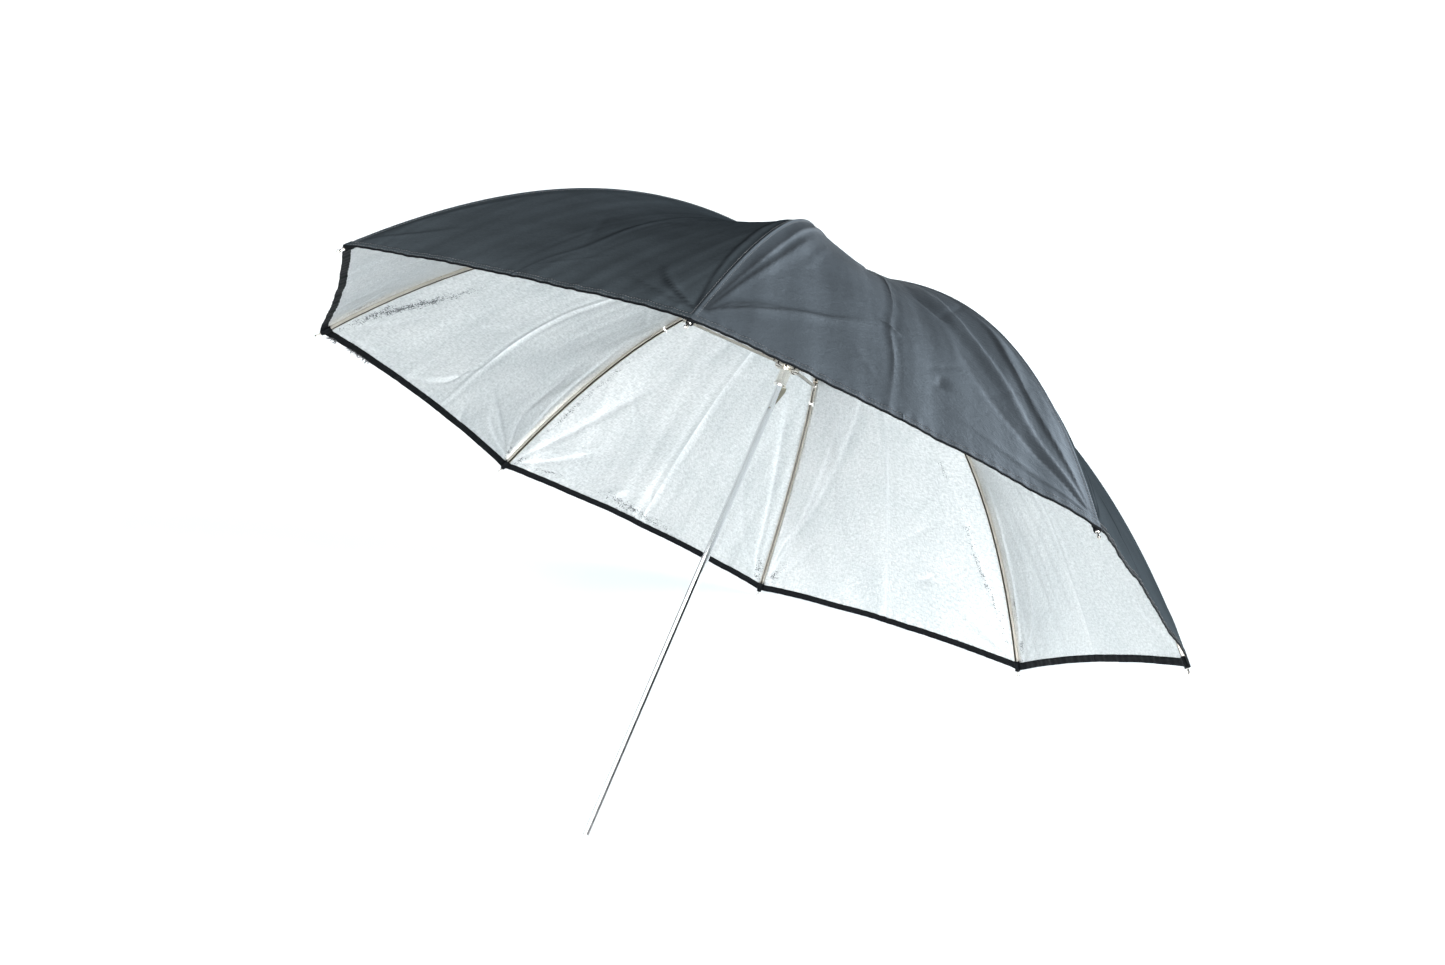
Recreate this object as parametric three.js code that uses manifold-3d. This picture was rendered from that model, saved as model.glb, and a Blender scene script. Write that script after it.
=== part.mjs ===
// Folding studio umbrella reflector, standing open on its shaft end and two rib tips.
// Millimetres, +Z up, floor at z = 0. The umbrella is first built in its own axis frame:
// z runs up the shaft from the shaft's lower end, rib k leaves the axis at RIB_ANGLE(k).
import * as THREE from 'three';
import { mergeVertices } from 'three/addons/utils/BufferGeometryUtils.js';
import Module from 'manifold-3d';

const wasm = await Module();
wasm.setup();

// ---------- driving dimensions (mm) ----------
const RIBS = 8;
const RIM_R = 500;            // cloth corner at a rib tip, from the shaft axis
const RIM_Z = 403;            // rim plane above the shaft's lower end
const CROWN_H = 260;          // rib pivots above the rim plane
const CURVE_P = 2.45;         // rib centreline: z = RIM_Z + CROWN_H * (1 - (r / RIM_R)^CURVE_P)
const GORE_SAG = 15;          // how far the middle of a gore sinks between two ribs
const HEM_SCALLOP = 5;        // how far the hem's middle is drawn back up the cloth
const CLOTH_IN = 3.7;         // cloth inner face above the rib centreline
const CLOTH_T = 0.9;          // thickness of the plain cloth solid
const CROWN_LIFT = 3.6;       // extra height where the cloth passes over the notch
const PANEL_GAP = 0.25;       // half the gap between neighbouring panels

const SHAFT_R = 4;            // 8 mm shaft
const SHAFT_BORE_R = 3.4;
const SHAFT_TOP = RIM_Z + 275;
const SHAFT_BOTTOM = 15;
const END_R = 1.6;            // blunt point of the end plug

const PIVOT_R = 11;           // rib eyes and stretcher eyes, from the axis
const CROWN_PIVOT_Z = RIM_Z + CROWN_H;
const RUNNER_PIVOT_Z = RIM_Z + 156;
const NOTCH_R = 14;
const SLOT_W = 2.4;
const SLOT_FLOOR_R = 7.6;
const EYE_R = 2.2;
const EYE_HOLE_R = 0.9;
const WIRE_R = 0.5;
const BLADE_T = 1.4;

const RIB_W = 4.4;            // fluted rib, outside
const RIB_D = 3.2;
const RIB_WALL = 0.8;
const RIB_START_R = 22;
const RIB_END_BACK = 3.5;     // the rib stops this far short of the cloth corner

const RIB_STATIONS = 24;      // facets along a rib

const JOINT_R = 235;          // rib joint: radius on the rib centreline
const JOINT_DROP = 5.4;       // joint pivot below the rib centreline
const RIVET_R = 0.8;
const CLIP_LEN = 9;

const BAR_W = 3.4;            // stretcher, outside
const BAR_D = 3.0;

const TIP_LEN = 9;            // rib tip past the cloth corner
const TIP_BALL_R = 2.0;

const RUNNER_R = 6.4;
const RUNNER_BORE_R = 4.4;
const RUNNER_FOOT_Z = RIM_Z + 129;
const CATCH_ANGLE = THREE.MathUtils.degToRad(62);
const CATCH_PIVOT_Z = RIM_Z + 101;

const Y_SHIFT = -260.15;      // puts the middle of the bounding box over the origin

// ---------- materials ----------
const mat = (color, roughness, metalness) => new THREE.MeshStandardMaterial({ color, roughness, metalness });
const chrome = mat(0xdfe3e6, 0.12, 1.0);
const nickel = mat(0xc9c6bd, 0.28, 1.0);
const steel = mat(0xa9a69c, 0.38, 1.0);
const catchSteel = mat(0x8f8c78, 0.42, 1.0);
const blackPlastic = mat(0x17181a, 0.5, 0.0);
const blackCloth = mat(0x2b3036, 0.75, 0.0);
const silverCloth = mat(0xd9e0e3, 0.35, 0.6);

// ---------- helpers ----------
const ribAngle = (k) => (k - 4.5) * (2 * Math.PI / RIBS);     // from +Y towards +X, k = 1..8
const ribDir = (k) => new THREE.Vector3(Math.sin(ribAngle(k)), Math.cos(ribAngle(k)), 0);
const ribZ = (r) => RIM_Z + CROWN_H * (1 - Math.pow(r / RIM_R, CURVE_P));
const ribSlope = (r) => CROWN_H * CURVE_P / RIM_R * Math.pow(r / RIM_R, CURVE_P - 1);   // -dz/dr

function toManifold(geometry) {
  const g = geometry.index ? geometry.toNonIndexed() : geometry.clone();
  for (const name of Object.keys(g.attributes)) if (name !== 'position') g.deleteAttribute(name);
  const m = mergeVertices(g, 1e-4);
  return new wasm.Manifold(new wasm.Mesh({
    numProp: 3,
    vertProperties: new Float32Array(m.attributes.position.array),
    triVerts: new Uint32Array(m.index.array),
  }));
}

function fromManifold(solid) {
  const mesh = solid.getMesh();
  const g = new THREE.BufferGeometry();
  g.setAttribute('position', new THREE.BufferAttribute(new Float32Array(mesh.vertProperties), 3));
  g.setIndex(new THREE.BufferAttribute(new Uint32Array(mesh.triVerts), 1));
  g.computeVertexNormals();
  return g;
}

const cylinder = (r, len, seg = 16) => new THREE.CylinderGeometry(r, r, len, seg);      // along Y
const zCylinder = (r, z0, z1, seg = 16) => cylinder(r, z1 - z0, seg).rotateX(Math.PI / 2).translate(0, 0, (z0 + z1) / 2);
const box = (x0, x1, y0, y1, z0, z1) => new THREE.BoxGeometry(x1 - x0, y1 - y0, z1 - z0).translate((x0 + x1) / 2, (y0 + y1) / 2, (z0 + z1) / 2);

// a closed [radius, z] outline turned about the z axis
function turned(profile, seg) {
  const pts = profile.map(([r, z]) => new THREE.Vector2(r, z));
  return new THREE.LatheGeometry(pts, seg).rotateX(Math.PI / 2);
}

// an outline in the (r, z) plane of rib 0 (r along +Y), made into a plate of the given thickness across x
function plate(outline, thickness) {
  const shape = new THREE.Shape(outline.map(([r, z]) => new THREE.Vector2(r, z)));
  const g = new THREE.ExtrudeGeometry(shape, { depth: thickness, bevelEnabled: false, steps: 1 });
  // shape x -> +Y, shape y -> +Z, depth -> +X
  g.applyMatrix4(new THREE.Matrix4().set(
    0, 0, 1, -thickness / 2,
    1, 0, 0, 0,
    0, 1, 0, 0,
    0, 0, 0, 1));
  return g;
}

const xCylinder = (r, len, y, z, seg = 12) => cylinder(r, len, seg).rotateZ(Math.PI / 2).translate(0, y, z);

// outline of a strip that follows the rib centreline from r0 to r1, between two normal offsets
function strip(r0, r1, low, high, steps) {
  const up = [], down = [];
  for (let i = 0; i <= steps; i++) {
    const r = r0 + (r1 - r0) * i / steps;
    const m = ribSlope(r), n = Math.hypot(m, 1);
    const nr = m / n, nz = 1 / n;
    up.push([r + nr * high, ribZ(r) + nz * high]);
    down.push([r + nr * low, ribZ(r) + nz * low]);
  }
  return [...down, ...up.reverse()];
}

const umbrella = new THREE.Group();
const pose = new THREE.Group();
pose.add(umbrella);

function addPart(name, geometry, material, parent = umbrella) {
  const mesh = new THREE.Mesh(geometry, material);
  mesh.name = name;
  parent.add(mesh);
  return mesh;
}

const arm = {};
for (let k = 1; k <= RIBS; k++) {
  arm[k] = new THREE.Group();
  arm[k].rotation.z = -ribAngle(k);
  umbrella.add(arm[k]);
}

// ---------- shaft and what is fixed to it ----------
{
  const tube = toManifold(turned([[SHAFT_BORE_R, SHAFT_BOTTOM], [SHAFT_R, SHAFT_BOTTOM], [SHAFT_R, SHAFT_TOP], [SHAFT_BORE_R, SHAFT_TOP], [SHAFT_BORE_R, SHAFT_BOTTOM]], 28));
  const slot = toManifold(box(-1.0, 1.0, 1, 6, CATCH_PIVOT_Z - 2.5, RUNNER_FOOT_Z - 0.2).rotateZ(-CATCH_ANGLE));
  const pin1 = toManifold(cylinder(1.1, 12, 16).rotateZ(Math.PI / 2).rotateZ(-CATCH_ANGLE).translate(0, 0, CATCH_PIVOT_Z));
  const pin2 = toManifold(cylinder(1.1, 12, 16).rotateZ(Math.PI / 2).translate(0, 0, RUNNER_PIVOT_Z + 24));
  addPart('shaft_tube', fromManifold(tube.subtract(slot).subtract(pin1).subtract(pin2)), chrome);
}
addPart('shaft_end_plug', turned([
  [0, 0], [END_R * 0.5, END_R * 0.134], [END_R * 0.866, END_R * 0.5], [END_R, END_R], [2.3, 6], [3.3, 11.5], [4, 14.7],
  [3.1, 14.7], [3.1, 27], [0, 27]], 24), chrome);
addPart('catch_pivot_pin', cylinder(0.8, 7.6, 12).rotateZ(Math.PI / 2).rotateZ(-CATCH_ANGLE).translate(0, 0, CATCH_PIVOT_Z), steel);
addPart('runner_stop_pin', cylinder(0.8, 11.6, 12).rotateZ(Math.PI / 2).translate(0, 0, RUNNER_PIVOT_Z + 24), steel);

function slottedCollar(profile, slotLow, slotHigh) {
  let solid = toManifold(turned(profile, 32));
  for (let k = 1; k <= RIBS; k++) {
    const cut = box(-SLOT_W / 2, SLOT_W / 2, SLOT_FLOOR_R, NOTCH_R + 6, slotLow, slotHigh).rotateZ(-ribAngle(k));
    solid = solid.subtract(toManifold(cut));
  }
  return fromManifold(solid);
}

addPart('crown_notch', slottedCollar([
  [4.3, CROWN_PIVOT_Z - 16], [7, CROWN_PIVOT_Z - 16], [7, CROWN_PIVOT_Z - 7], [NOTCH_R, CROWN_PIVOT_Z - 7],
  [NOTCH_R, CROWN_PIVOT_Z - 0.8], [PIVOT_R - 0.8, CROWN_PIVOT_Z - 0.8], [PIVOT_R - 0.8, CROWN_PIVOT_Z + 0.8], [NOTCH_R, CROWN_PIVOT_Z + 0.8],
  [NOTCH_R, CROWN_PIVOT_Z + 4], [12, CROWN_PIVOT_Z + 5.6], [4.3, CROWN_PIVOT_Z + 5.6], [4.3, CROWN_PIVOT_Z - 16]],
  CROWN_PIVOT_Z - 7.5, CROWN_PIVOT_Z + 3.2), nickel);
addPart('crown_wire_ring', new THREE.TorusGeometry(PIVOT_R, WIRE_R, 5, 32).translate(0, 0, CROWN_PIVOT_Z), steel);
addPart('crown_patch', turned([
  [4.4, CROWN_PIVOT_Z + 8.9], [14, CROWN_PIVOT_Z + 8.9], [24, CROWN_PIVOT_Z + 8.3], [24, CROWN_PIVOT_Z + 9.1],
  [14, CROWN_PIVOT_Z + 9.8], [4.4, CROWN_PIVOT_Z + 9.8], [4.4, CROWN_PIVOT_Z + 8.9]], 24), blackCloth);
addPart('crown_cap', turned([
  [0, CROWN_PIVOT_Z + 1], [3.1, CROWN_PIVOT_Z + 1], [3.1, SHAFT_TOP + 0.4], [4.4, SHAFT_TOP + 0.4], [4.4, CROWN_PIVOT_Z + 10.1], [9.5, CROWN_PIVOT_Z + 10.1],
  [9.5, CROWN_PIVOT_Z + 12.2], [6.4, CROWN_PIVOT_Z + 14], [5.8, CROWN_PIVOT_Z + 29], [5, CROWN_PIVOT_Z + 30.2], [0, CROWN_PIVOT_Z + 30.2]], 24), blackPlastic);

// ---------- runner ----------
addPart('runner_sleeve', turned([
  [RUNNER_BORE_R, RUNNER_FOOT_Z], [7.2, RUNNER_FOOT_Z], [7.2, RUNNER_FOOT_Z + 1.6], [RUNNER_R, RUNNER_FOOT_Z + 2.2],
  [RUNNER_R, RUNNER_PIVOT_Z - 7.4], [RUNNER_R, RUNNER_PIVOT_Z + 10], [RUNNER_BORE_R, RUNNER_PIVOT_Z + 10], [RUNNER_BORE_R, RUNNER_FOOT_Z]], 32), chrome);
addPart('runner_notch', slottedCollar([
  [6.7, RUNNER_PIVOT_Z - 7], [13.5, RUNNER_PIVOT_Z - 7], [13.5, RUNNER_PIVOT_Z + 6], [12.5, RUNNER_PIVOT_Z + 7],
  [6.7, RUNNER_PIVOT_Z + 7], [6.7, RUNNER_PIVOT_Z - 7]], RUNNER_PIVOT_Z - 8, RUNNER_PIVOT_Z + 8), nickel);

// ---------- catch ----------
{
  // r is measured along the catch's own direction; the shelf under the runner stands 4.6 mm proud of the shaft
  const top = RUNNER_FOOT_Z - 0.6, p = CATCH_PIVOT_Z;
  const leaf = toManifold(plate([[-1.5, p - 1.6], [1.2, p - 1.9], [2.6, p + 1], [4.4, p + 7], [8.6, top - 5], [8.6, top], [1.7, top], [1.2, p + 12], [-0.6, p + 3], [-1.7, p + 1]], 1.2));
  const hole = toManifold(xCylinder(1.0, 4, 0, p, 16));
  const g = fromManifold(leaf.subtract(hole));
  g.rotateZ(-CATCH_ANGLE);
  addPart('catch_spring', g, catchSteel);
}

// ---------- ribs, tips, clips, stretchers ----------
const endR = RIM_R;
const endSlope = ribSlope(endR), endN = Math.hypot(endSlope, 1);
const tipDir = [1 / endN, -endSlope / endN];                 // along the rib, outwards and down
const ribEndR = RIM_R - RIB_END_BACK * tipDir[0];

function ribGeometry() {
  const body = toManifold(plate(strip(RIB_START_R, ribEndR, -RIB_D / 2, RIB_D / 2, RIB_STATIONS), RIB_W));
  const flute = toManifold(plate(strip(RIB_START_R - 4, ribEndR + 2, -RIB_D, RIB_D / 2 - RIB_WALL, RIB_STATIONS), RIB_W - 2 * RIB_WALL));
  const blade = toManifold(plate(strip(PIVOT_R, RIB_START_R + 5, -1.4, 1.4, 2), BLADE_T));
  const eye = toManifold(xCylinder(EYE_R, BLADE_T, PIVOT_R, CROWN_PIVOT_Z, 12));
  const hole = toManifold(xCylinder(EYE_HOLE_R, 6, PIVOT_R, CROWN_PIVOT_Z, 8));
  return fromManifold(body.subtract(flute).add(blade).add(eye).subtract(hole));
}

function tipGeometry() {
  const b = TIP_LEN - TIP_BALL_R, br = TIP_BALL_R, s = Math.SQRT1_2;
  const profile = [[0, -3.1], [1.7, -3.1], [1.8, -2.6], [1.8, 1.2], [1.3, 1.9], [1.2, b - 2.4], [br * s, b - br * s], [br, b], [br * s, b + br * s], [0, b + br]];
  const g = turned(profile, 10);
  // lathe axis (+Z) onto the rib's outward tangent in the (y, z) plane
  const a = Math.atan2(tipDir[0], tipDir[1]);                // from +Z towards +Y
  g.rotateX(-a);
  g.translate(0, endR, ribZ(endR));
  return g;
}

const js = ribSlope(JOINT_R), jn = Math.hypot(js, 1);
const J = [JOINT_R - js / jn * JOINT_DROP, ribZ(JOINT_R) - JOINT_DROP / jn];
const N = [PIVOT_R, RUNNER_PIVOT_Z];

function clipGeometry() {
  const w = RIB_W / 2 + 0.3, o = w + 0.5, base = -RIB_D / 2 - 0.3, low = base - 0.6;
  const section = new THREE.Shape([[-o, 1.2], [-w, 1.2], [-w, base], [w, base], [w, 1.2], [o, 1.2], [o, low], [0.6, low], [0.6, -JOINT_DROP - 1.9], [-0.6, -JOINT_DROP - 1.9], [-0.6, low], [-o, low]].map(([x, y]) => new THREE.Vector2(x, y)));
  const g = new THREE.ExtrudeGeometry(section, { depth: CLIP_LEN, bevelEnabled: false, steps: 1 });
  g.translate(0, 0, -CLIP_LEN / 2);
  // shape x -> X, shape y -> rib normal, depth -> against the tangent, so that the frame stays right-handed
  const nr = js / jn, nz = 1 / jn;                            // outward normal in (y, z)
  g.applyMatrix4(new THREE.Matrix4().set(
    1, 0, 0, 0,
    0, nr, -nz, JOINT_R,
    0, nz, nr, ribZ(JOINT_R),
    0, 0, 0, 1));
  let solid = toManifold(g);
  solid = solid.add(toManifold(xCylinder(RIVET_R, 4.6, J[0], J[1], 8)));
  solid = solid.add(toManifold(xCylinder(1.4, 0.6, J[0], J[1], 8).translate(2.4, 0, 0)));
  solid = solid.add(toManifold(xCylinder(1.4, 0.6, J[0], J[1], 8).translate(-2.4, 0, 0)));
  return fromManifold(solid);
}

function stretcherGeometry() {
  // built along +Y from the runner eye (y = 0) to the rib eye (y = L), then laid between N and J
  const L = Math.hypot(J[0] - N[0], J[1] - N[1]);
  const h = BAR_D / 2;
  let bar = toManifold(box(-BAR_W / 2, BAR_W / 2, 17, L - 1.5, -h, h));
  bar = bar.add(toManifold(box(-BLADE_T / 2, BLADE_T / 2, 0, 19, -1.4, 1.4)));
  bar = bar.add(toManifold(xCylinder(EYE_R, BLADE_T, 0, 0, 10)));
  bar = bar.subtract(toManifold(xCylinder(EYE_HOLE_R, 6, 0, 0, 8)));
  bar = bar.add(toManifold(xCylinder(EYE_R - 0.2, BAR_W, L, 0, 10)));
  bar = bar.subtract(toManifold(box(-BAR_W / 2 + 0.8, BAR_W / 2 - 0.8, 22, L - 9, -h - 1, h - 0.8)));   // flute
  bar = bar.subtract(toManifold(box(-0.9, 0.9, L - 8, L + 6, -6, 6)));                                  // fork
  bar = bar.subtract(toManifold(xCylinder(RIVET_R + 0.3, 10, L, 0, 8)));
  const g = fromManifold(bar);
  g.rotateX(Math.atan2(J[1] - N[1], J[0] - N[0]));
  g.translate(0, N[0], N[1]);
  return g;
}

// ---------- canopy ----------
// middle surface: radius fraction along the ribs, w = -0.5..0.5 from mid-gore to mid-gore around one rib at +Y
const half = Math.PI / RIBS;
function clothPoint(r, w) {
  const side = Math.sign(w) || 1, t = Math.abs(w);
  const bump = 4 * t * (1 - t);
  const rr = r - HEM_SCALLOP * bump * Math.pow(r / RIM_R, 6);
  const a = [0, 1], b = [Math.sin(2 * half) * side, Math.cos(2 * half)];
  const x = rr * (a[0] * (1 - t) + b[0] * t), y = rr * (a[1] * (1 - t) + b[1] * t);
  const m = ribSlope(rr), n = Math.hypot(m, 1);
  const mx = Math.sin(half) * side, my = Math.cos(half);
  const sag = GORE_SAG * bump * Math.sin(Math.PI * rr / RIM_R);
  return new THREE.Vector3(x - mx * m / n * sag, y - my * m / n * sag, ribZ(rr) - sag / n);
}
function clothNormal(r, w) {
  // at the rib itself the two halves meet in a ridge, so its normal is the rib's own
  if (Math.abs(w) < 1e-9) {
    const m = ribSlope(r), n = Math.hypot(m, 1);
    return new THREE.Vector3(0, m / n, 1 / n);
  }
  const dr = 0.5, dw = 0.004 * Math.sign(w);
  const a = clothPoint(r + dr, w).sub(clothPoint(r - dr, w));
  const b = clothPoint(r, w + dw * 0.5).sub(clothPoint(r, w - dw * 0.5));
  const n = a.cross(b).normalize();
  if (n.z < 0) n.negate();
  return n;
}
const RADII = [9.5, 17, 30, 60, 105, 150, 193, 235, 280, 325, 370, 415, 460, 500];
const WS = [-0.5, -0.33, -0.16, -0.03, 0, 0.03, 0.16, 0.33, 0.5];

function panelGeometry() {
  const pos = [], idx = [];
  const nr = RADII.length, nw = WS.length;
  const at = (layer, i, j) => (layer * nr + i) * nw + j;
  for (const layer of [0, 1]) {
    for (let i = 0; i < nr; i++) for (let j = 0; j < nw; j++) {
      const r = RADII[i];
      const p = clothPoint(r, WS[j]);
      const lift = CROWN_LIFT * (1 - THREE.MathUtils.smoothstep(r, 17, 45));
      const n = clothNormal(Math.max(r, 2), WS[j]);
      const off = CLOTH_IN + (layer ? CLOTH_T : 0);
      p.addScaledVector(n, off);
      p.z += lift;
      if (Math.abs(WS[j]) === 0.5) {
        // keep the edge on the mid-gore plane, less the gap
        const s = Math.sign(WS[j]);
        const t = new THREE.Vector3(Math.cos(half) * s, -Math.sin(half), 0);      // across the mid-gore plane
        p.addScaledVector(t, -p.dot(t) - PANEL_GAP);
      }
      pos.push(p.x, p.y, p.z);
    }
  }
  const quad = (a, b, c, d) => idx.push(a, b, c, a, c, d);
  for (let i = 0; i < nr - 1; i++) for (let j = 0; j < nw - 1; j++) {
    quad(at(1, i, j), at(1, i + 1, j), at(1, i + 1, j + 1), at(1, i, j + 1));
    quad(at(0, i, j), at(0, i, j + 1), at(0, i + 1, j + 1), at(0, i + 1, j));
  }
  for (let j = 0; j < nw - 1; j++) {
    quad(at(1, 0, j), at(1, 0, j + 1), at(0, 0, j + 1), at(0, 0, j));
    quad(at(1, nr - 1, j + 1), at(1, nr - 1, j), at(0, nr - 1, j), at(0, nr - 1, j + 1));
  }
  for (let i = 0; i < nr - 1; i++) {
    quad(at(1, i + 1, 0), at(1, i, 0), at(0, i, 0), at(0, i + 1, 0));
    quad(at(1, i, nw - 1), at(1, i + 1, nw - 1), at(0, i + 1, nw - 1), at(0, i, nw - 1));
  }
  const g = new THREE.BufferGeometry();
  g.setAttribute('position', new THREE.Float32BufferAttribute(pos, 3));
  g.setIndex(idx);
  // x runs clockwise seen from above, so the faces are turned to point outwards
  const index = g.index.array;
  let vol = 0;
  const P = (i) => new THREE.Vector3(pos[3 * i], pos[3 * i + 1], pos[3 * i + 2]);
  for (let i = 0; i < index.length; i += 3) vol += P(index[i]).dot(P(index[i + 1]).cross(P(index[i + 2])));
  if (vol < 0) for (let i = 0; i < index.length; i += 3) [index[i + 1], index[i + 2]] = [index[i + 2], index[i + 1]];
  g.computeVertexNormals();
  return g;
}

const shared = { rib: ribGeometry(), tip: tipGeometry(), clip: clipGeometry(), bar: stretcherGeometry(), panel: panelGeometry() };
for (let k = 1; k <= RIBS; k++) {
  addPart(`rib_${k}`, shared.rib, steel, arm[k]);
  addPart(`rib_tip_${k}`, shared.tip, nickel, arm[k]);
  addPart(`rib_clip_${k}`, shared.clip, nickel, arm[k]);
  addPart(`stretcher_${k}`, shared.bar, steel, arm[k]);
  addPart(`canopy_panel_${k}`, shared.panel, k === 1 || k === 8 ? blackCloth : silverCloth, arm[k]);
}

// ---------- stand it on the shaft end and the two lowest rib tips ----------
const ballR = endR + tipDir[0] * (TIP_LEN - TIP_BALL_R), ballZ = ribZ(endR) + tipDir[1] * (TIP_LEN - TIP_BALL_R);
const reach = ballR * Math.cos(half), rise = ballZ - END_R;
// rise * cos(b) - reach * sin(b) = TIP_BALL_R - END_R
const tilt = Math.atan2(rise, reach) - Math.asin((TIP_BALL_R - END_R) / Math.hypot(rise, reach));
umbrella.rotation.x = -tilt;
pose.position.set(0, Y_SHIFT, END_R * (1 - Math.cos(tilt)));

const group = new THREE.Group();
group.add(pose);
group.updateMatrixWorld(true);

export const layout = { tilt, ballR, ballZ, J, N, yShift: Y_SHIFT, zShift: END_R * (1 - Math.cos(tilt)), CROWN_PIVOT_Z, PIVOT_R, RIM_Z, RIM_R, CATCH_ANGLE, CATCH_PIVOT_Z };
export default group;
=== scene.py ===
import math
import bpy
import numpy as np
from mathutils import Matrix, Vector


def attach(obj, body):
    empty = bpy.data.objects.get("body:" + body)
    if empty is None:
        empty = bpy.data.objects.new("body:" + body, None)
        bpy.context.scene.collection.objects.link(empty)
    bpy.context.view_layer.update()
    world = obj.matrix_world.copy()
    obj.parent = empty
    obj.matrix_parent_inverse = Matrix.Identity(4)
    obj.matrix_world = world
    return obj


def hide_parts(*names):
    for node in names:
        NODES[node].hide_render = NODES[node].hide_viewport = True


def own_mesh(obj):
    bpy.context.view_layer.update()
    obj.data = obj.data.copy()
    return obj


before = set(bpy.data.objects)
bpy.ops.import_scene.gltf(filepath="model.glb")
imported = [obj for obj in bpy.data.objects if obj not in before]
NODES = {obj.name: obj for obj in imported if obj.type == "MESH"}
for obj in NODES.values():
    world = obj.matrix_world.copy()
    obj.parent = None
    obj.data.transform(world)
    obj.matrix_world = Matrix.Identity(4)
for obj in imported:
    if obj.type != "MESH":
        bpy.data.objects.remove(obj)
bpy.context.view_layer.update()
MM = 0.001

# ---------------------------------------------------------------- umbrella frame (mm), as in the CAD
TILT = 0.7036538514136494
Y_SHIFT, Z_SHIFT = -260.15, 0.3800268619872153
CB, SB = math.cos(TILT), math.sin(TILT)
RIM_R, RIM_Z, CROWN_H, CURVE_P = 500.0, 403.0, 260.0, 2.45
GORE_SAG, HEM_SCALLOP = 15.0, 5.0
CROWN_PIVOT_Z, RUNNER_PIVOT_Z, RUNNER_FOOT_Z = 663.0, 559.0, 532.0
HALF = math.pi / 8


def to_row(p):
    """umbrella frame, mm -> row frame, metres"""
    p = np.asarray(p, float)
    return np.stack([p[..., 0], p[..., 1] * CB + p[..., 2] * SB + Y_SHIFT, -p[..., 1] * SB + p[..., 2] * CB + Z_SHIFT], -1) * MM


def turn_row(v):
    v = np.asarray(v, float)
    return np.stack([v[..., 0], v[..., 1] * CB + v[..., 2] * SB, -v[..., 1] * SB + v[..., 2] * CB], -1)


def rib_angle(k):
    return (k - 4.5) * math.pi / 4


def arm(p, k):
    """rib-local point (rib along +Y) -> umbrella frame"""
    g = rib_angle(k)
    p = np.asarray(p, float)
    return np.stack([p[..., 0] * math.cos(g) + p[..., 1] * math.sin(g), -p[..., 0] * math.sin(g) + p[..., 1] * math.cos(g), p[..., 2]], -1)


def rib_z(r):
    return RIM_Z + CROWN_H * (1 - (r / RIM_R) ** CURVE_P)


def rib_slope(r):
    return CROWN_H * CURVE_P / RIM_R * (r / RIM_R) ** (CURVE_P - 1)


def smooth(x, a, b):
    t = np.clip((x - a) / (b - a), 0, 1)
    return t * t * (3 - 2 * t)


_rr = np.linspace(0, 510, 2041)
_arc = np.concatenate([[0], np.cumsum(np.hypot(1, (rib_slope(_rr[1:]) + rib_slope(_rr[:-1])) / 2) * np.diff(_rr))])
ARC = lambda r: np.interp(r, _rr, _arc)
R_OF_ARC = lambda s: np.interp(s, _arc, _rr)
CHORD = 2 * math.sin(HALF)            # distance between two ribs, per mm of radius


# ---------------------------------------------------------------- cloth shape
def gore_base(k, r, s):
    """Taut surface of gore k, between rib k (s = 0) and rib k+1 (s = 1), before folds and thickness. Umbrella frame, mm."""
    g0 = rib_angle(k)
    g1, gm = g0 + 2 * HALF, g0 + HALF
    bump = 4 * s * (1 - s)
    rr = r - HEM_SCALLOP * bump * (np.maximum(r, 0) / RIM_R) ** 6
    m = rib_slope(rr)
    n = np.hypot(m, 1)
    sag = GORE_SAG * bump * np.sin(np.pi * rr / RIM_R)
    x = rr * (math.sin(g0) * (1 - s) + math.sin(g1) * s) - math.sin(gm) * m / n * sag
    y = rr * (math.cos(g0) * (1 - s) + math.cos(g1) * s) - math.cos(gm) * m / n * sag
    return np.stack([x, y, rib_z(rr) - sag / n], -1)


def base_normal(k, r, s):
    r = np.maximum(r, 4.0)
    a = gore_base(k, r + 0.5, s) - gore_base(k, r - 0.5, s)
    b = gore_base(k, r, s + 0.002) - gore_base(k, r, s - 0.002)
    n = np.cross(a, b)
    n /= np.linalg.norm(n, axis=-1, keepdims=True)
    n *= np.sign(n[..., 2:3] + 1e-12)
    # at a rib the two gores meet in a ridge, and there the normal is the rib's own
    for kk, side in ((k, s), (k + 1, 1 - s)):
        g = rib_angle(kk)
        m = rib_slope(r)
        h = np.hypot(m, 1)
        rib = np.stack([math.sin(g) * m / h, math.cos(g) * m / h, 1 / h], -1)
        w = np.exp(-((np.abs(side) * CHORD * r / 5.0) ** 2))[..., None]
        n = n * (1 - w) + rib * w
    n /= np.linalg.norm(n, axis=-1, keepdims=True)
    return n


def flat_xy(r, s):
    """place on the gore laid flat, in mm: across from its middle, and down from the crown"""
    return (s - 0.5) * CHORD * r, ARC(r)


def curve_points(ctrl, count=28):
    """a smooth line through control points given as (radius, share across the gore)"""
    p = np.array([flat_xy(np.array(float(r)), np.array(float(s))) for r, s in ctrl], float)
    if len(p) == 2:
        t = np.linspace(0, 1, count)[:, None]
        return p[0] * (1 - t) + p[1] * t
    q = np.vstack([2 * p[0] - p[1], p, 2 * p[-1] - p[-2]])
    out = []
    per = max(4, count // (len(p) - 1))
    for i in range(1, len(q) - 2):
        t = np.linspace(0, 1, per, endpoint=(i == len(q) - 3))[:, None]
        out.append(0.5 * ((2 * q[i]) + (-q[i - 1] + q[i + 1]) * t + (2 * q[i - 1] - 5 * q[i] + 4 * q[i + 1] - q[i + 2]) * t * t + (-q[i - 1] + 3 * q[i] - 3 * q[i + 1] + q[i + 2]) * t ** 3))
    return np.vstack(out)


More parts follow.
